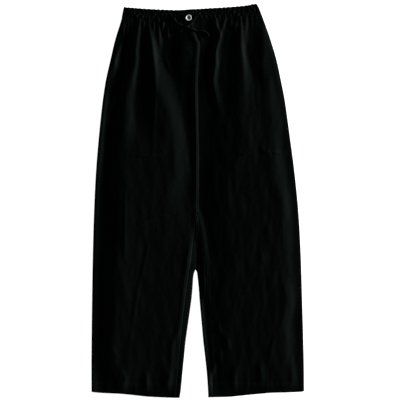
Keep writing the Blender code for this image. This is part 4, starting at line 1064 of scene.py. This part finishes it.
def back_panel(side, finish):
    """One back: its inner strip lies on the front side, rolls under, and goes on to the side seam."""
    rows = front_row_heights()
    low_rows = rows[rows < CROTCH_FOLD_Y - 1e-9]
    mid_rows = rows[(rows >= CROTCH_FOLD_Y - 1e-9) & (rows <= STRIP_TOP_Y + 1e-9)]
    high_rows = rows[rows >= CROTCH_FOLD_Y - 1e-9]

    def strip(row_y, end):
        seam = inseam_x(row_y, side)
        x = seam[:, None] + (end - seam)[:, None] * np.linspace(0, 1, STRIP_STEPS) ** 1.3
        y = real_y(x, row_y[:, None])
        return grid_of(x, y, front_face(x, y))

    def floor(row_y, start):
        y_side, x_edge, low, high = side_edge(row_y, side)
        end = x_edge - side * (thickness(y_side) / 2 + (high - low) / 2)
        x = start[:, None] + (end - start)[:, None] * np.linspace(0, 1, FLOOR_STEPS)
        y = real_y(x, row_y[:, None])
        angles = math.pi - math.pi / 2 * np.arange(1, ROLL_STEPS + 1) / ROLL_STEPS
        roll = roll_points(x_edge[:, None], y_side[:, None], side, angles, low[:, None], high[:, None])
        return np.concatenate([grid_of(x, y, underside_relief(x, y)), roll], axis=1)

    y_in, x_in, low_in, high_in = inner_edge(low_rows, side)
    start = x_in + side * (thickness(y_in) / 2 + (high_in - low_in) / 2)
    turns = math.pi * np.arange(1, INNER_TURNS + 1) / (INNER_TURNS + 1)
    inner_roll = roll_points(x_in[:, None], y_in[:, None], -side, turns, low_in[:, None], high_in[:, None])
    top = middle_x(mid_rows)
    apex = middle_x(high_rows)
    below = np.concatenate([strip(low_rows, start), inner_roll, floor(low_rows, start)], axis=1)
    on_front = strip(mid_rows, top)
    under = floor(high_rows, apex)
    joins = [
        np.stack([below[-1, :STRIP_STEPS], on_front[0]]),
        np.stack([below[-1, STRIP_STEPS + INNER_TURNS :], under[0]]),
    ]
    name = "back_left_cloth" if side == LEFT else "back_right_cloth"
    piece = cloth_mesh(name, [below, on_front, under, *joins], PANEL_SHELL, side == RIGHT, finish)
    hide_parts("back_left" if side == LEFT else "back_right")
    return piece


def band_lean(x, y, y_low):
    """How far the band's ends lean in along the garment's side edges."""
    to_left = 1 - ease((x - BAND_LEFT) / BAND_LEAN_REACH)
    to_right = 1 - ease((BAND_RIGHT - x) / BAND_LEAN_REACH)
    left = outer_x(y, LEFT) - outer_x(y_low, LEFT)
    right = outer_x(y, RIGHT) - outer_x(y_low, RIGHT)
    return left * to_left + right * to_right


BAND_SHARES = np.array(
    [0.0, 0.006, 0.02, 0.05, 0.10, 0.16, 0.22, 0.28, 0.31, 0.34, 0.37, 0.40, 0.46, 0.52, 0.58]
    + [0.62, 0.65, 0.68, 0.71, 0.75, 0.81, 0.87, 0.92, 0.955, 0.98, 0.994, 1.0]
)


def all_round(upper, lower):
    """A ring of points across a casing: over its upper face and back along the lower one."""
    return np.concatenate([upper, lower[:, ::-1][:, 1:]], axis=1)


def band_piece(name, x, thick, ruffled, low, shift, finish):
    """A casing of cloth all round the elastic, gathered by it."""
    x = x[:, None]
    thick = thick[:, None]
    ruffled = ruffled[:, None]
    share = BAND_SHARES[None, :]
    y_low = waist_seam_y(x)
    wave = ruffle(x, shift) * ruffled
    scallop = RUFFLE_SCALLOP * wave * ease((share - 0.85) / 0.15)
    y = y_low + share * BAND_HEIGHT + scallop
    over = band_face(x, share, low, thick, shift, ruffled)
    under = low + thick / 2 - thick / 2 * rounded(share, 9)
    across = x + band_lean(x, y, y_low)
    ring = all_round(grid_of(across, y, over), grid_of(across, y, under))
    rings = [ring]
    for end in (0, -1):
        middle = np.broadcast_to(ring[end].mean(axis=0), ring[end].shape)
        flat = ring[end] * [1, 1, 0.0] + middle * [0, 0, 1]
        pair = [ring[end], flat] if end == -1 else [flat, ring[end]]
        rings.append(np.stack(pair))
    piece = cloth_mesh(name, rings, BAND_SHELL, True, finish)
    return piece


def ruffled_columns(start, end):
    """Even columns along a gathered casing: their x, the thickness there and how ruffled they are."""
    x = np.linspace(start, end, round((end - start) / (1.15 * MM)) + 1)
    return x, np.full(len(x), BAND_THICK - RUFFLE_RISE), np.ones(len(x))


def waistband(finish):
    """The three gathered casings: the back one and the two on the front beside the tab."""
    front_low = BAND_THICK + SEAM_GAP
    x, thick, ruffled = ruffled_columns(BAND_LEFT, BAND_RIGHT)
    back = band_piece("waistband_back_casing", x, thick, ruffled, 0.0, BACK_SHIFT, finish)
    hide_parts("waistband_back")
    x, thick, ruffled = ruffled_columns(BAND_LEFT, TAB_LEFT - SEAM_GAP / 2)
    left = band_piece("waistband_left_casing", x, thick, ruffled, front_low, 0.0, finish)
    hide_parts("waistband_front_left")
    step = TAB_RIGHT + SEAM_GAP
    x, thick, ruffled = ruffled_columns(step + SEAM_GAP, BAND_RIGHT)
    flat_x = np.linspace(UNDERLAP_LEFT, step, 24)
    x = np.concatenate([flat_x, x])
    thick = np.concatenate([np.full(24, UNDERLAP_THICK), thick])
    ruffled = np.concatenate([np.zeros(24), ruffled])
    right = band_piece("waistband_right_casing", x, thick, ruffled, front_low, 0.0, finish)
    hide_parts("waistband_front_right")


def tab(finish):
    """The flat tab: two layers of cloth, pressed, with rounded edges and a rounded free end."""
    share = BAND_SHARES[None, :]
    along = np.linspace(0, 1, 52)[:, None]
    left = TAB_LEFT + SEAM_GAP / 2
    round_off = TAB_ROUND * (2 * share - 1) ** 4
    x = left + (TAB_RIGHT - round_off - left) * along
    y = waist_seam_y(x) + share * BAND_HEIGHT
    edge = rounded(share, 9) * rounded(along, 16)
    from_ends = np.minimum(along, 1 - along) * (TAB_RIGHT - left)
    from_sides = np.minimum(share, 1 - share) * BAND_HEIGHT
    line = -0.22 * MM * bell(np.minimum(from_ends, from_sides) - TAB_STITCH_INSET, 0.7 * MM)
    soft = 0.12 * MM * uneven(x, y, 13 * MM, 1.3)
    middle = TAB_LOW + TAB_THICK / 2
    upper = grid_of(x, y, middle + TAB_THICK / 2 * edge + (line + soft) * edge)
    ring = all_round(upper, grid_of(x, y, middle - TAB_THICK / 2 * edge))
    piece = cloth_mesh("waistband_tab_cloth", [ring], TAB_SHELL, True, finish)
    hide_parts("waistband_tab")


def surface_height(x, y):
    """The highest face under a spot: tab, band or front panel."""
    on_tab = (x > TAB_LEFT) & (x < TAB_RIGHT)
    above = np.where(on_tab, TAB_LOW + TAB_THICK, 2 * BAND_THICK + SEAM_GAP + RUFFLE_RISE)
    return np.where(y <= waist_seam_y(x), front_face(x, y), above)


def clear_height(x, y, reach):
    """The lowest height that clears every face within reach of a spot."""
    spots = [(dx * reach, dy * reach) for dx in (-1, 0, 1) for dy in (-1, 0, 1)]
    return np.max([surface_height(x + dx, y + dy) for dx, dy in spots], axis=0)


def smooth_route(points, spacing):
    """A smooth line through points, with even spacing."""
    points = np.array(points, float)
    steps = np.append(0, np.cumsum(np.linalg.norm(np.diff(points, axis=0), axis=1)))
    fine = np.linspace(0, steps[-1], 400)
    line = np.column_stack([through(steps, points[:, i], fine) for i in range(points.shape[1])])
    reach = np.append(0, np.cumsum(np.linalg.norm(np.diff(line, axis=0), axis=1)))
    even = np.linspace(0, reach[-1], max(2, round(reach[-1] / spacing)) + 1)
    return np.column_stack([np.interp(even, reach, line[:, i]) for i in range(points.shape[1])])


def tube_points(path, radius, sides, twist):
    """Rings round a path, with a braid's raised strands."""
    path = np.asarray(path)
    ahead = np.gradient(path, axis=0)
    ahead /= np.linalg.norm(ahead, axis=1)[:, None]
    up = np.array([0.0, 0.0, 1.0]) - ahead * ahead[:, 2:]
    up /= np.linalg.norm(up, axis=1)[:, None]
    beside = np.cross(ahead, up)
    turn = np.linspace(0, 2 * math.pi, sides, endpoint=False)[None, :]
    along = np.append(0, np.cumsum(np.linalg.norm(np.diff(path, axis=0), axis=1)))[:, None]
    strand = np.maximum(np.sin(3 * turn + along * twist), np.sin(3 * turn - along * twist + math.pi))
    size = (np.asarray(radius)[..., None] * (0.95 + 0.06 * strand))[..., None]
    outward = np.cos(turn)[..., None] * up[:, None] + np.sin(turn)[..., None] * beside[:, None]
    return path[:, None] + size * outward


def tube(name, path, radius, sides, finish, closed=False, twist=0.0):
    """A cord or thread along a path, closed into a loop or with capped ends."""
    rings = tube_points(path, np.broadcast_to(radius, len(path)), sides, twist)
    shape = bmesh.new()
    verts = [[shape.verts.new(point) for point in ring] for ring in rings]
    pairs = list(zip(verts, verts[1:] + verts[:1])) if closed else list(zip(verts, verts[1:]))
    for ring, after in pairs:
        for i in range(sides):
            j = (i + 1) % sides
            shape.faces.new((ring[i], ring[j], after[j], after[i]))
    if not closed:
        shape.faces.new(verts[0][::-1])
        shape.faces.new(verts[-1])
    bmesh.ops.recalc_face_normals(shape, faces=shape.faces)
    return piece_from(name, mesh_from(name, shape), finish)


def cord_route(first, last, knot_lift):
    """The cord from its eyelet, down over the band and through the knot to its free end."""
    places = np.concatenate([MM * np.array(first), [KNOT_AT], MM * np.array(last)])
    flat = smooth_route(places, 1.5 * MM)
    height = clear_height(flat[:, 0], flat[:, 1], CORD_WIDTH / 2) + CORD_WIDTH / 2
    for _ in range(3):
        padded = np.concatenate([height[:1], height, height[-1:]])
        height = np.maximum(height, (padded[:-2] + padded[1:-1] + padded[2:]) / 3)
    to_knot = np.hypot(flat[:, 0] - KNOT_AT[0], flat[:, 1] - KNOT_AT[1])
    height = height + knot_lift * bell(to_knot, 7 * MM)
    return smooth_route(np.column_stack([flat, height]), 0.5 * MM)


def drawstring(finish, thread):
    """Two braided ends that leave the casing beside the tab, cross in one knot and lie on the front."""
    left = cord_route(LEFT_RUN, RIGHT_TAIL, -0.4 * MM)
    right = cord_route(RIGHT_RUN, LEFT_TAIL, 1.4 * MM)
    braid = 2 * math.pi / BRAID_LAY
    for name, path in (("drawstring_left", left), ("drawstring_right", right)):
        radius = np.full(len(path), CORD_WIDTH / 2)
        radius[-3:] = CORD_WIDTH / 2 * np.array([0.96, 0.88, 0.7])
        tube(name, path, radius, 24, finish, twist=braid)
    turn = np.linspace(0, 2 * math.pi, 140, endpoint=False)
    loop = np.column_stack(
        [np.sin(turn) + 2 * np.sin(2 * turn), np.cos(turn) - 2 * np.cos(2 * turn), -1.25 * np.sin(3 * turn)]
    )
    low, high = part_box("drawstring_knot")
    centre = np.array((low + high) / 2) - np.array([0.0, 0.0, KNOT_SINK])
    room = np.array(high - low) - CORD_WIDTH * 0.9
    loop = loop / (loop.max(axis=0) - loop.min(axis=0)) * room + centre
    knot = tube("drawstring_knot_loops", loop, CORD_WIDTH * 0.45, 16, finish, closed=True, twist=braid)
    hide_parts("drawstring_knot")
    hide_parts("drawstring_left_run", "drawstring_right_tail")
    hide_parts("drawstring_right_run", "drawstring_left_tail")
    for name, path in (("eyelet_left", left), ("eyelet_right", right)):
        eyelet(name, path[0], thread)


def eyelet(name, at, thread):
    """A small oval of close stitches round the hole in the casing."""
    turn = np.linspace(0, 2 * math.pi, 96, endpoint=False)
    ribs = 0.5 + 0.5 * np.cos(turn * 24)
    x = at[0] + EYELET_HALF[0] * np.cos(turn)
    y = at[1] + EYELET_HALF[1] * np.sin(turn)
    z = np.full(len(turn), at[2] - CORD_WIDTH / 2 - 0.5 * MM)
    ring = tube(name, np.column_stack([x, y, z]), (0.8 + 0.16 * ribs) * MM, 8, thread, closed=True)


def stitches(name, paths, pitch, length, width, thread):
    """Rows of single stitches, each a short thread that dips into the cloth at both ends."""
    rings = [
        # share of the length, width, lift
        (-0.5, 0.25, -0.3),
        (-0.28, 0.9, 0.35),
        (0.0, 1.0, 0.5),
        (0.28, 0.9, 0.35),
        (0.5, 0.25, -0.3),
    ]
    turn = np.linspace(0, 2 * math.pi, 6, endpoint=False)
    points, faces = [], []
    for path in paths:
        line = smooth_route(path, pitch)
        for a, b in zip(line, line[1:]):
            ahead = (b - a) / np.linalg.norm(b - a)
            beside = np.cross([0, 0, 1], ahead)
            beside /= np.linalg.norm(beside)
            up = np.cross(ahead, beside)
            first = len(points)
            for share, wide, lift in rings:
                middle = (a + b) / 2 + ahead * share * length + up * lift * width
                for angle in turn:
                    outward = math.cos(angle) * beside + math.sin(angle) * up
                    points.append(middle + wide * width / 2 * outward)
            for i in range(4):
                for j in range(6):
                    k = (j + 1) % 6
                    row, after = first + 6 * i, first + 6 * (i + 1)
                    faces.append((row + j, row + k, after + k, after + j))
            faces.append(tuple(range(first + 5, first - 1, -1)))
            faces.append(tuple(range(first + 24, first + 30)))
    mesh = bpy.data.meshes.new(name)
    mesh.from_pydata([tuple(point) for point in points], [], faces)
    mesh.validate()
    piece_from(name, mesh, thread)


def on_front(x, y, lift=0.0):
    """Points that lie on the front cloth."""
    x, y = np.asarray(x, float), np.asarray(y, float)
    return np.column_stack([x, y, front_face(x, y) + lift])


def hem_stitching(thread):
    """One row along the top of each hem, on the front."""
    rows = []
    for side in (LEFT, RIGHT):
        ends = (outer_x(HEM_TOP_Y, side) - side * 9 * MM, inner_x(HEM_TOP_Y, side) + side * 9 * MM)
        x = np.linspace(min(ends), max(ends), 90)
        y = curve(HEM_LINE, x, 1) + HEM_DEPTH - HEM_ROW_BELOW
        rows.append(on_front(x, y, -0.2 * MM))
    stitches("hem_stitching", rows, 3.0 * MM, 2.3 * MM, STITCH_WIDTH, thread)


def fly_stitching(thread):
    """A row down beside the middle seam that curves in to it, and a bar of close stitches at its end."""
    row = smooth_route(MM * np.array(FLY_ROW), 2 * MM)
    bar_y = np.linspace(0.3345, 0.3400, 5)
    bar = [on_front([-0.0070, -0.0022], [y, y], 0.3 * MM) for y in bar_y]
    stitches("fly_stitching", [on_front(row[:, 0], row[:, 1])], 3.0 * MM, 2.3 * MM, STITCH_WIDTH, thread)
    stitches("fly_bar_stitches", bar, 5.0 * MM, 5.2 * MM, 0.7 * MM, thread)


def band_stitching(thread):
    """Two rows that hold the elastic on each side of the tab."""
    rows = []
    left_of_tab = (BAND_LEFT + 3 * MM, TAB_LEFT - 1.5 * MM)
    right_of_tab = (TAB_RIGHT + 2 * MM, BAND_RIGHT - 3 * MM)
    for start, end in (left_of_tab, right_of_tab):
        for share in BAND_ROWS:
            x = np.linspace(start, end, 260)
            y = waist_seam_y(x) + share * BAND_HEIGHT
            low = waist_seam_y(x)
            z = band_face(x, share, BAND_THICK + SEAM_GAP, BAND_THICK - RUFFLE_RISE, 0.0)
            rows.append(np.column_stack([x + band_lean(x, y, low), y, z]))
    stitches("band_stitching", rows, 2.6 * MM, 2.0 * MM, STITCH_WIDTH, thread)


def tab_stitching(thread):
    """A row near the tab's edges and the close stitches of its buttonhole."""
    left, right = TAB_LEFT + 0.5 * MM, TAB_RIGHT - TAB_STITCH_INSET
    top = TAB_LOW + TAB_THICK - 0.2 * MM
    low_left, low_right, high_left, high_right = (
        (x, waist_seam_y(x) + up, top)
        for up in (TAB_STITCH_INSET, BAND_HEIGHT - TAB_STITCH_INSET)
        for x in (left, right)
    )
    edges = [[low_left, low_right], [low_right, high_right], [high_left, high_right]]
    stitches("tab_stitching", edges, 2.8 * MM, 2.1 * MM, STITCH_WIDTH, thread)
    bars = []
    button_x, button_y = BUTTON_AT
    for x in np.arange(button_x - BUTTONHOLE_HALF, button_x + BUTTONHOLE_HALF, 0.8 * MM):
        for low, high in ((0.5, 2.3), (-2.3, -0.5)):
            start = (x, button_y + low * MM, top + 0.2 * MM)
            end = (x + 0.01 * MM, button_y + high * MM, top + 0.2 * MM)
            bars.append([start, end])
    stitches("buttonhole_stitches", bars, 1.8 * MM, 2.0 * MM, 0.7 * MM, thread)


def button_thread(thread):
    """Thread through the four holes: two bars of three strands."""
    paths = []
    reach = HOLE_RING / 2 * math.cos(math.pi / 4)
    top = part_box("button")[1].z
    rise = top - 0.55 * MM
    down = top - 2.0 * MM
    arch = [
        # share of the reach, height
        (-1.05, down),
        (-0.75, rise - 0.5 * MM),
        (0.0, rise),
        (0.75, rise - 0.5 * MM),
        (1.05, down),
    ]
    for offset in (-reach, reach):
        for strand in (-0.45 * MM, 0.0, 0.45 * MM):
            x = BUTTON_AT[0] + offset + strand
            paths.append([(x, BUTTON_AT[1] + share * reach, z) for share, z in arch])
    for i, path in enumerate(paths):
        piece = tube(f"button_thread_{i + 1}", smooth_route(path, 0.35 * MM), 0.27 * MM, 8, thread)


# Finishes


def srgb(code):
    """A hex colour as the linear values that a shader takes."""
    values = [int(code[i : i + 2], 16) / 255 for i in (1, 3, 5)]
    return tuple(v / 12.92 if v <= 0.04045 else ((v + 0.055) / 1.055) ** 2.4 for v in values) + (1.0,)


def add(tree, kind, settings=None, links=None):
    """Adds a node, with its settings and what its inputs are linked from."""
    node = tree.nodes.new(kind)
    for name, value in (settings or {}).items():
        if isinstance(name, int) or name in node.inputs:
            node.inputs[name].default_value = value
        else:
            setattr(node, name, value)
    for name, source in (links or {}).items():
        tree.links.new(source, node.inputs[name])
    return node


def new_finish(name):
    """A new material, its nodes, its shader and the place on the piece that its patterns follow."""
    material = bpy.data.materials.new(name)
    material.use_nodes = True
    tree = material.node_tree
    shader = tree.nodes["Principled BSDF"]
    place = add(tree, "ShaderNodeTexCoord").outputs["Object"]
    return material, tree, shader, place


def set_shader(shader, values):
    for name, value in values.items():
        shader.inputs[name].default_value = value


# The drawn spacing of the cloth's threads
THREAD_PITCH = 0.9 * MM


def woven_twill():
    """Black viscose twill, piece-dyed and pressed: a soft dull sheen on the folds' flanks.

    Its threads are about 0.4 mm apart; they are drawn 0.9 mm apart so that they show close up."""
    material, tree, shader, place = new_finish("woven twill, black")
    bands = math.pi / 10 / THREAD_PITCH
    turned = add(tree, "ShaderNodeMapping", {"Rotation": (0, 0, math.radians(62))}, {"Vector": place})
    rib = add(
        tree,
        "ShaderNodeTexWave",
        {"Scale": bands, "Distortion": 0.6, "Detail": 1.0},
        {"Vector": turned.outputs[0]},
    )
    weft = add(tree, "ShaderNodeTexWave", {"Scale": bands * 0.8, "bands_direction": "Y"}, {"Vector": place})
    weave = add(
        tree,
        "ShaderNodeMath",
        {"operation": "MULTIPLY_ADD", 1: 0.4},
        {0: weft.outputs["Fac"], 2: rib.outputs["Fac"]},
    )
    slub = add(tree, "ShaderNodeTexNoise", {"Scale": 170.0, "Detail": 3.0}, {"Vector": place})
    cloudy = add(tree, "ShaderNodeTexNoise", {"Scale": 16.0, "Detail": 2.0}, {"Vector": place})
    blend = add(
        tree,
        "ShaderNodeMix",
        {"data_type": "RGBA", 6: srgb("#030605"), 7: srgb("#060908")},
        {0: cloudy.outputs["Fac"]},
    )
    tree.links.new(blend.outputs[2], shader.inputs["Base Color"])
    rough = add(
        tree,
        "ShaderNodeMapRange",
        {"To Min": 0.56, "To Max": 0.70},
        {"Value": slub.outputs["Fac"]},
    )
    tree.links.new(rough.outputs[0], shader.inputs["Roughness"])
    fine = add(
        tree,
        "ShaderNodeBump",
        {"Strength": 0.35, "Distance": 0.12 * MM},
        {"Height": weave.outputs[0]},
    )
    soft = add(
        tree,
        "ShaderNodeBump",
        {"Strength": 0.35, "Distance": 0.5 * MM},
        {"Height": slub.outputs["Fac"], "Normal": fine.outputs[0]},
    )
    tree.links.new(soft.outputs[0], shader.inputs["Normal"])
    set_shader(shader, {"Specular IOR Level": 0.02, "Specular Tint": srgb("#DAFFF5")})
    return material


def braided_cotton():
    """Black cotton cord, braided: dull, with raised strands and a few loose fibres."""
    material, tree, shader, place = new_finish("braided cotton, black")
    fibres = add(tree, "ShaderNodeTexNoise", {"Scale": 900.0, "Detail": 4.0}, {"Vector": place})
    blend = add(
        tree,
        "ShaderNodeMix",
        {"data_type": "RGBA", 6: srgb("#060909"), 7: srgb("#0B0F0F")},
        {0: fibres.outputs["Fac"]},
    )
    tree.links.new(blend.outputs[2], shader.inputs["Base Color"])
    bump = add(
        tree,
        "ShaderNodeBump",
        {"Strength": 0.5, "Distance": 0.2 * MM},
        {"Height": fibres.outputs["Fac"]},
    )
    tree.links.new(bump.outputs[0], shader.inputs["Normal"])
    set_shader(shader, {"Specular IOR Level": 0.02, "Roughness": 0.72})
    return material


def spun_thread():
    """Black sewing thread, spun polyester: a little shinier than the cloth."""
    material, tree, shader, place = new_finish("spun thread, black")
    ply = add(tree, "ShaderNodeTexWave", {"Scale": 400.0, "bands_direction": "DIAGONAL"}, {"Vector": place})
    bump = add(
        tree,
        "ShaderNodeBump",
        {"Strength": 0.3, "Distance": 0.08 * MM},
        {"Height": ply.outputs["Fac"]},
    )
    tree.links.new(bump.outputs[0], shader.inputs["Normal"])
    set_shader(shader, {"Base Color": srgb("#030505"), "Specular IOR Level": 0.03, "Roughness": 0.5})
    return material


def turned_resin():
    """Grey polyester resin with a smoky marbling, turned and polished: a soft gloss on its rim."""
    material, tree, shader, place = new_finish("turned resin, marbled grey")
    smoke = add(
        tree, "ShaderNodeTexNoise", {"Scale": 210.0, "Detail": 5.0, "Distortion": 1.6}, {"Vector": place}
    )
    tones = add(
        tree,
        "ShaderNodeMix",
        {"data_type": "RGBA", 6: srgb("#AEB2B2"), 7: srgb("#CCD0D0")},
        {0: smoke.outputs["Fac"]},
    )
    tree.links.new(tones.outputs[2], shader.inputs["Base Color"])
    turning = add(tree, "ShaderNodeTexNoise", {"Scale": 1400.0, "Detail": 2.0}, {"Vector": place})
    bump = add(
        tree,
        "ShaderNodeBump",
        {"Strength": 0.08, "Distance": 0.05 * MM},
        {"Height": turning.outputs["Fac"]},
    )
    tree.links.new(bump.outputs[0], shader.inputs["Normal"])
    set_shader(shader, {"Roughness": 0.42, "IOR": 1.5})
    return material


def floor_finish():
    """Plain white card, evenly lit."""
    material, _, shader, _ = new_finish("white card")
    set_shader(
        shader,
        {
            "Base Color": srgb("#F2F2F2"),
            "Roughness": 0.9,
            "Emission Color": (1.0, 1.0, 1.0, 1.0),
            "Emission Strength": 1.0,
        },
    )
    return material


# The studio


def camera():
    """Straight above; the view is one metre wide at the cloth."""
    data = bpy.data.cameras.new("camera")
    data.sensor_width = 36.0
    data.lens = 143.8
    data.clip_end = 50.0
    eye = bpy.data.objects.new("camera", data)
    eye.location = (0.0056, 0.0022, 4.0)
    bpy.context.scene.collection.objects.link(eye)
    bpy.context.scene.camera = eye


def soft_light(name, towards, elevation, strength, spread):
    """A wide even light: towards is the compass angle that it comes from, counted from +X to +Y."""
    data = bpy.data.lights.new(name, "SUN")
    data.energy = strength
    data.angle = math.radians(spread)
    lamp = bpy.data.objects.new(name, data)
    lamp.rotation_euler = (0, math.radians(90 - elevation), math.radians(towards))
    bpy.context.scene.collection.objects.link(lamp)


def studio():
    bpy.ops.mesh.primitive_plane_add(size=40, location=(0, 0, -0.0004))
    floor = bpy.context.object
    floor.name = "floor"
    floor.data.materials.append(floor_finish())
    soft_light("main light, right", 8, 8, 12.0, 8)
    soft_light("rim light, left", 172, 12, 0.35, 24)
    world = bpy.data.worlds.new("studio air")
    world.use_nodes = True
    sky = world.node_tree.nodes["Background"]
    sky.inputs["Color"].default_value = (1.0, 1.0, 1.0, 1.0)
    sky.inputs["Strength"].default_value = 0.06
    bpy.context.scene.world = world
    bpy.context.scene.view_settings.view_transform = "Standard"


def main():
    camera()
    cloth = woven_twill()
    cord = braided_cotton()
    thread = spun_thread()
    drawstring(cord, thread)
    for side in (LEFT, RIGHT):
        back_panel(side, cloth)
        front_panel(side, cloth)
    waistband(cloth)
    tab(cloth)
    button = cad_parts["button"]
    button.data.materials.clear()
    button.data.materials.append(turned_resin())
    button_thread(thread)
    hem_stitching(thread)
    fly_stitching(thread)
    band_stitching(thread)
    tab_stitching(thread)
    studio()


main()
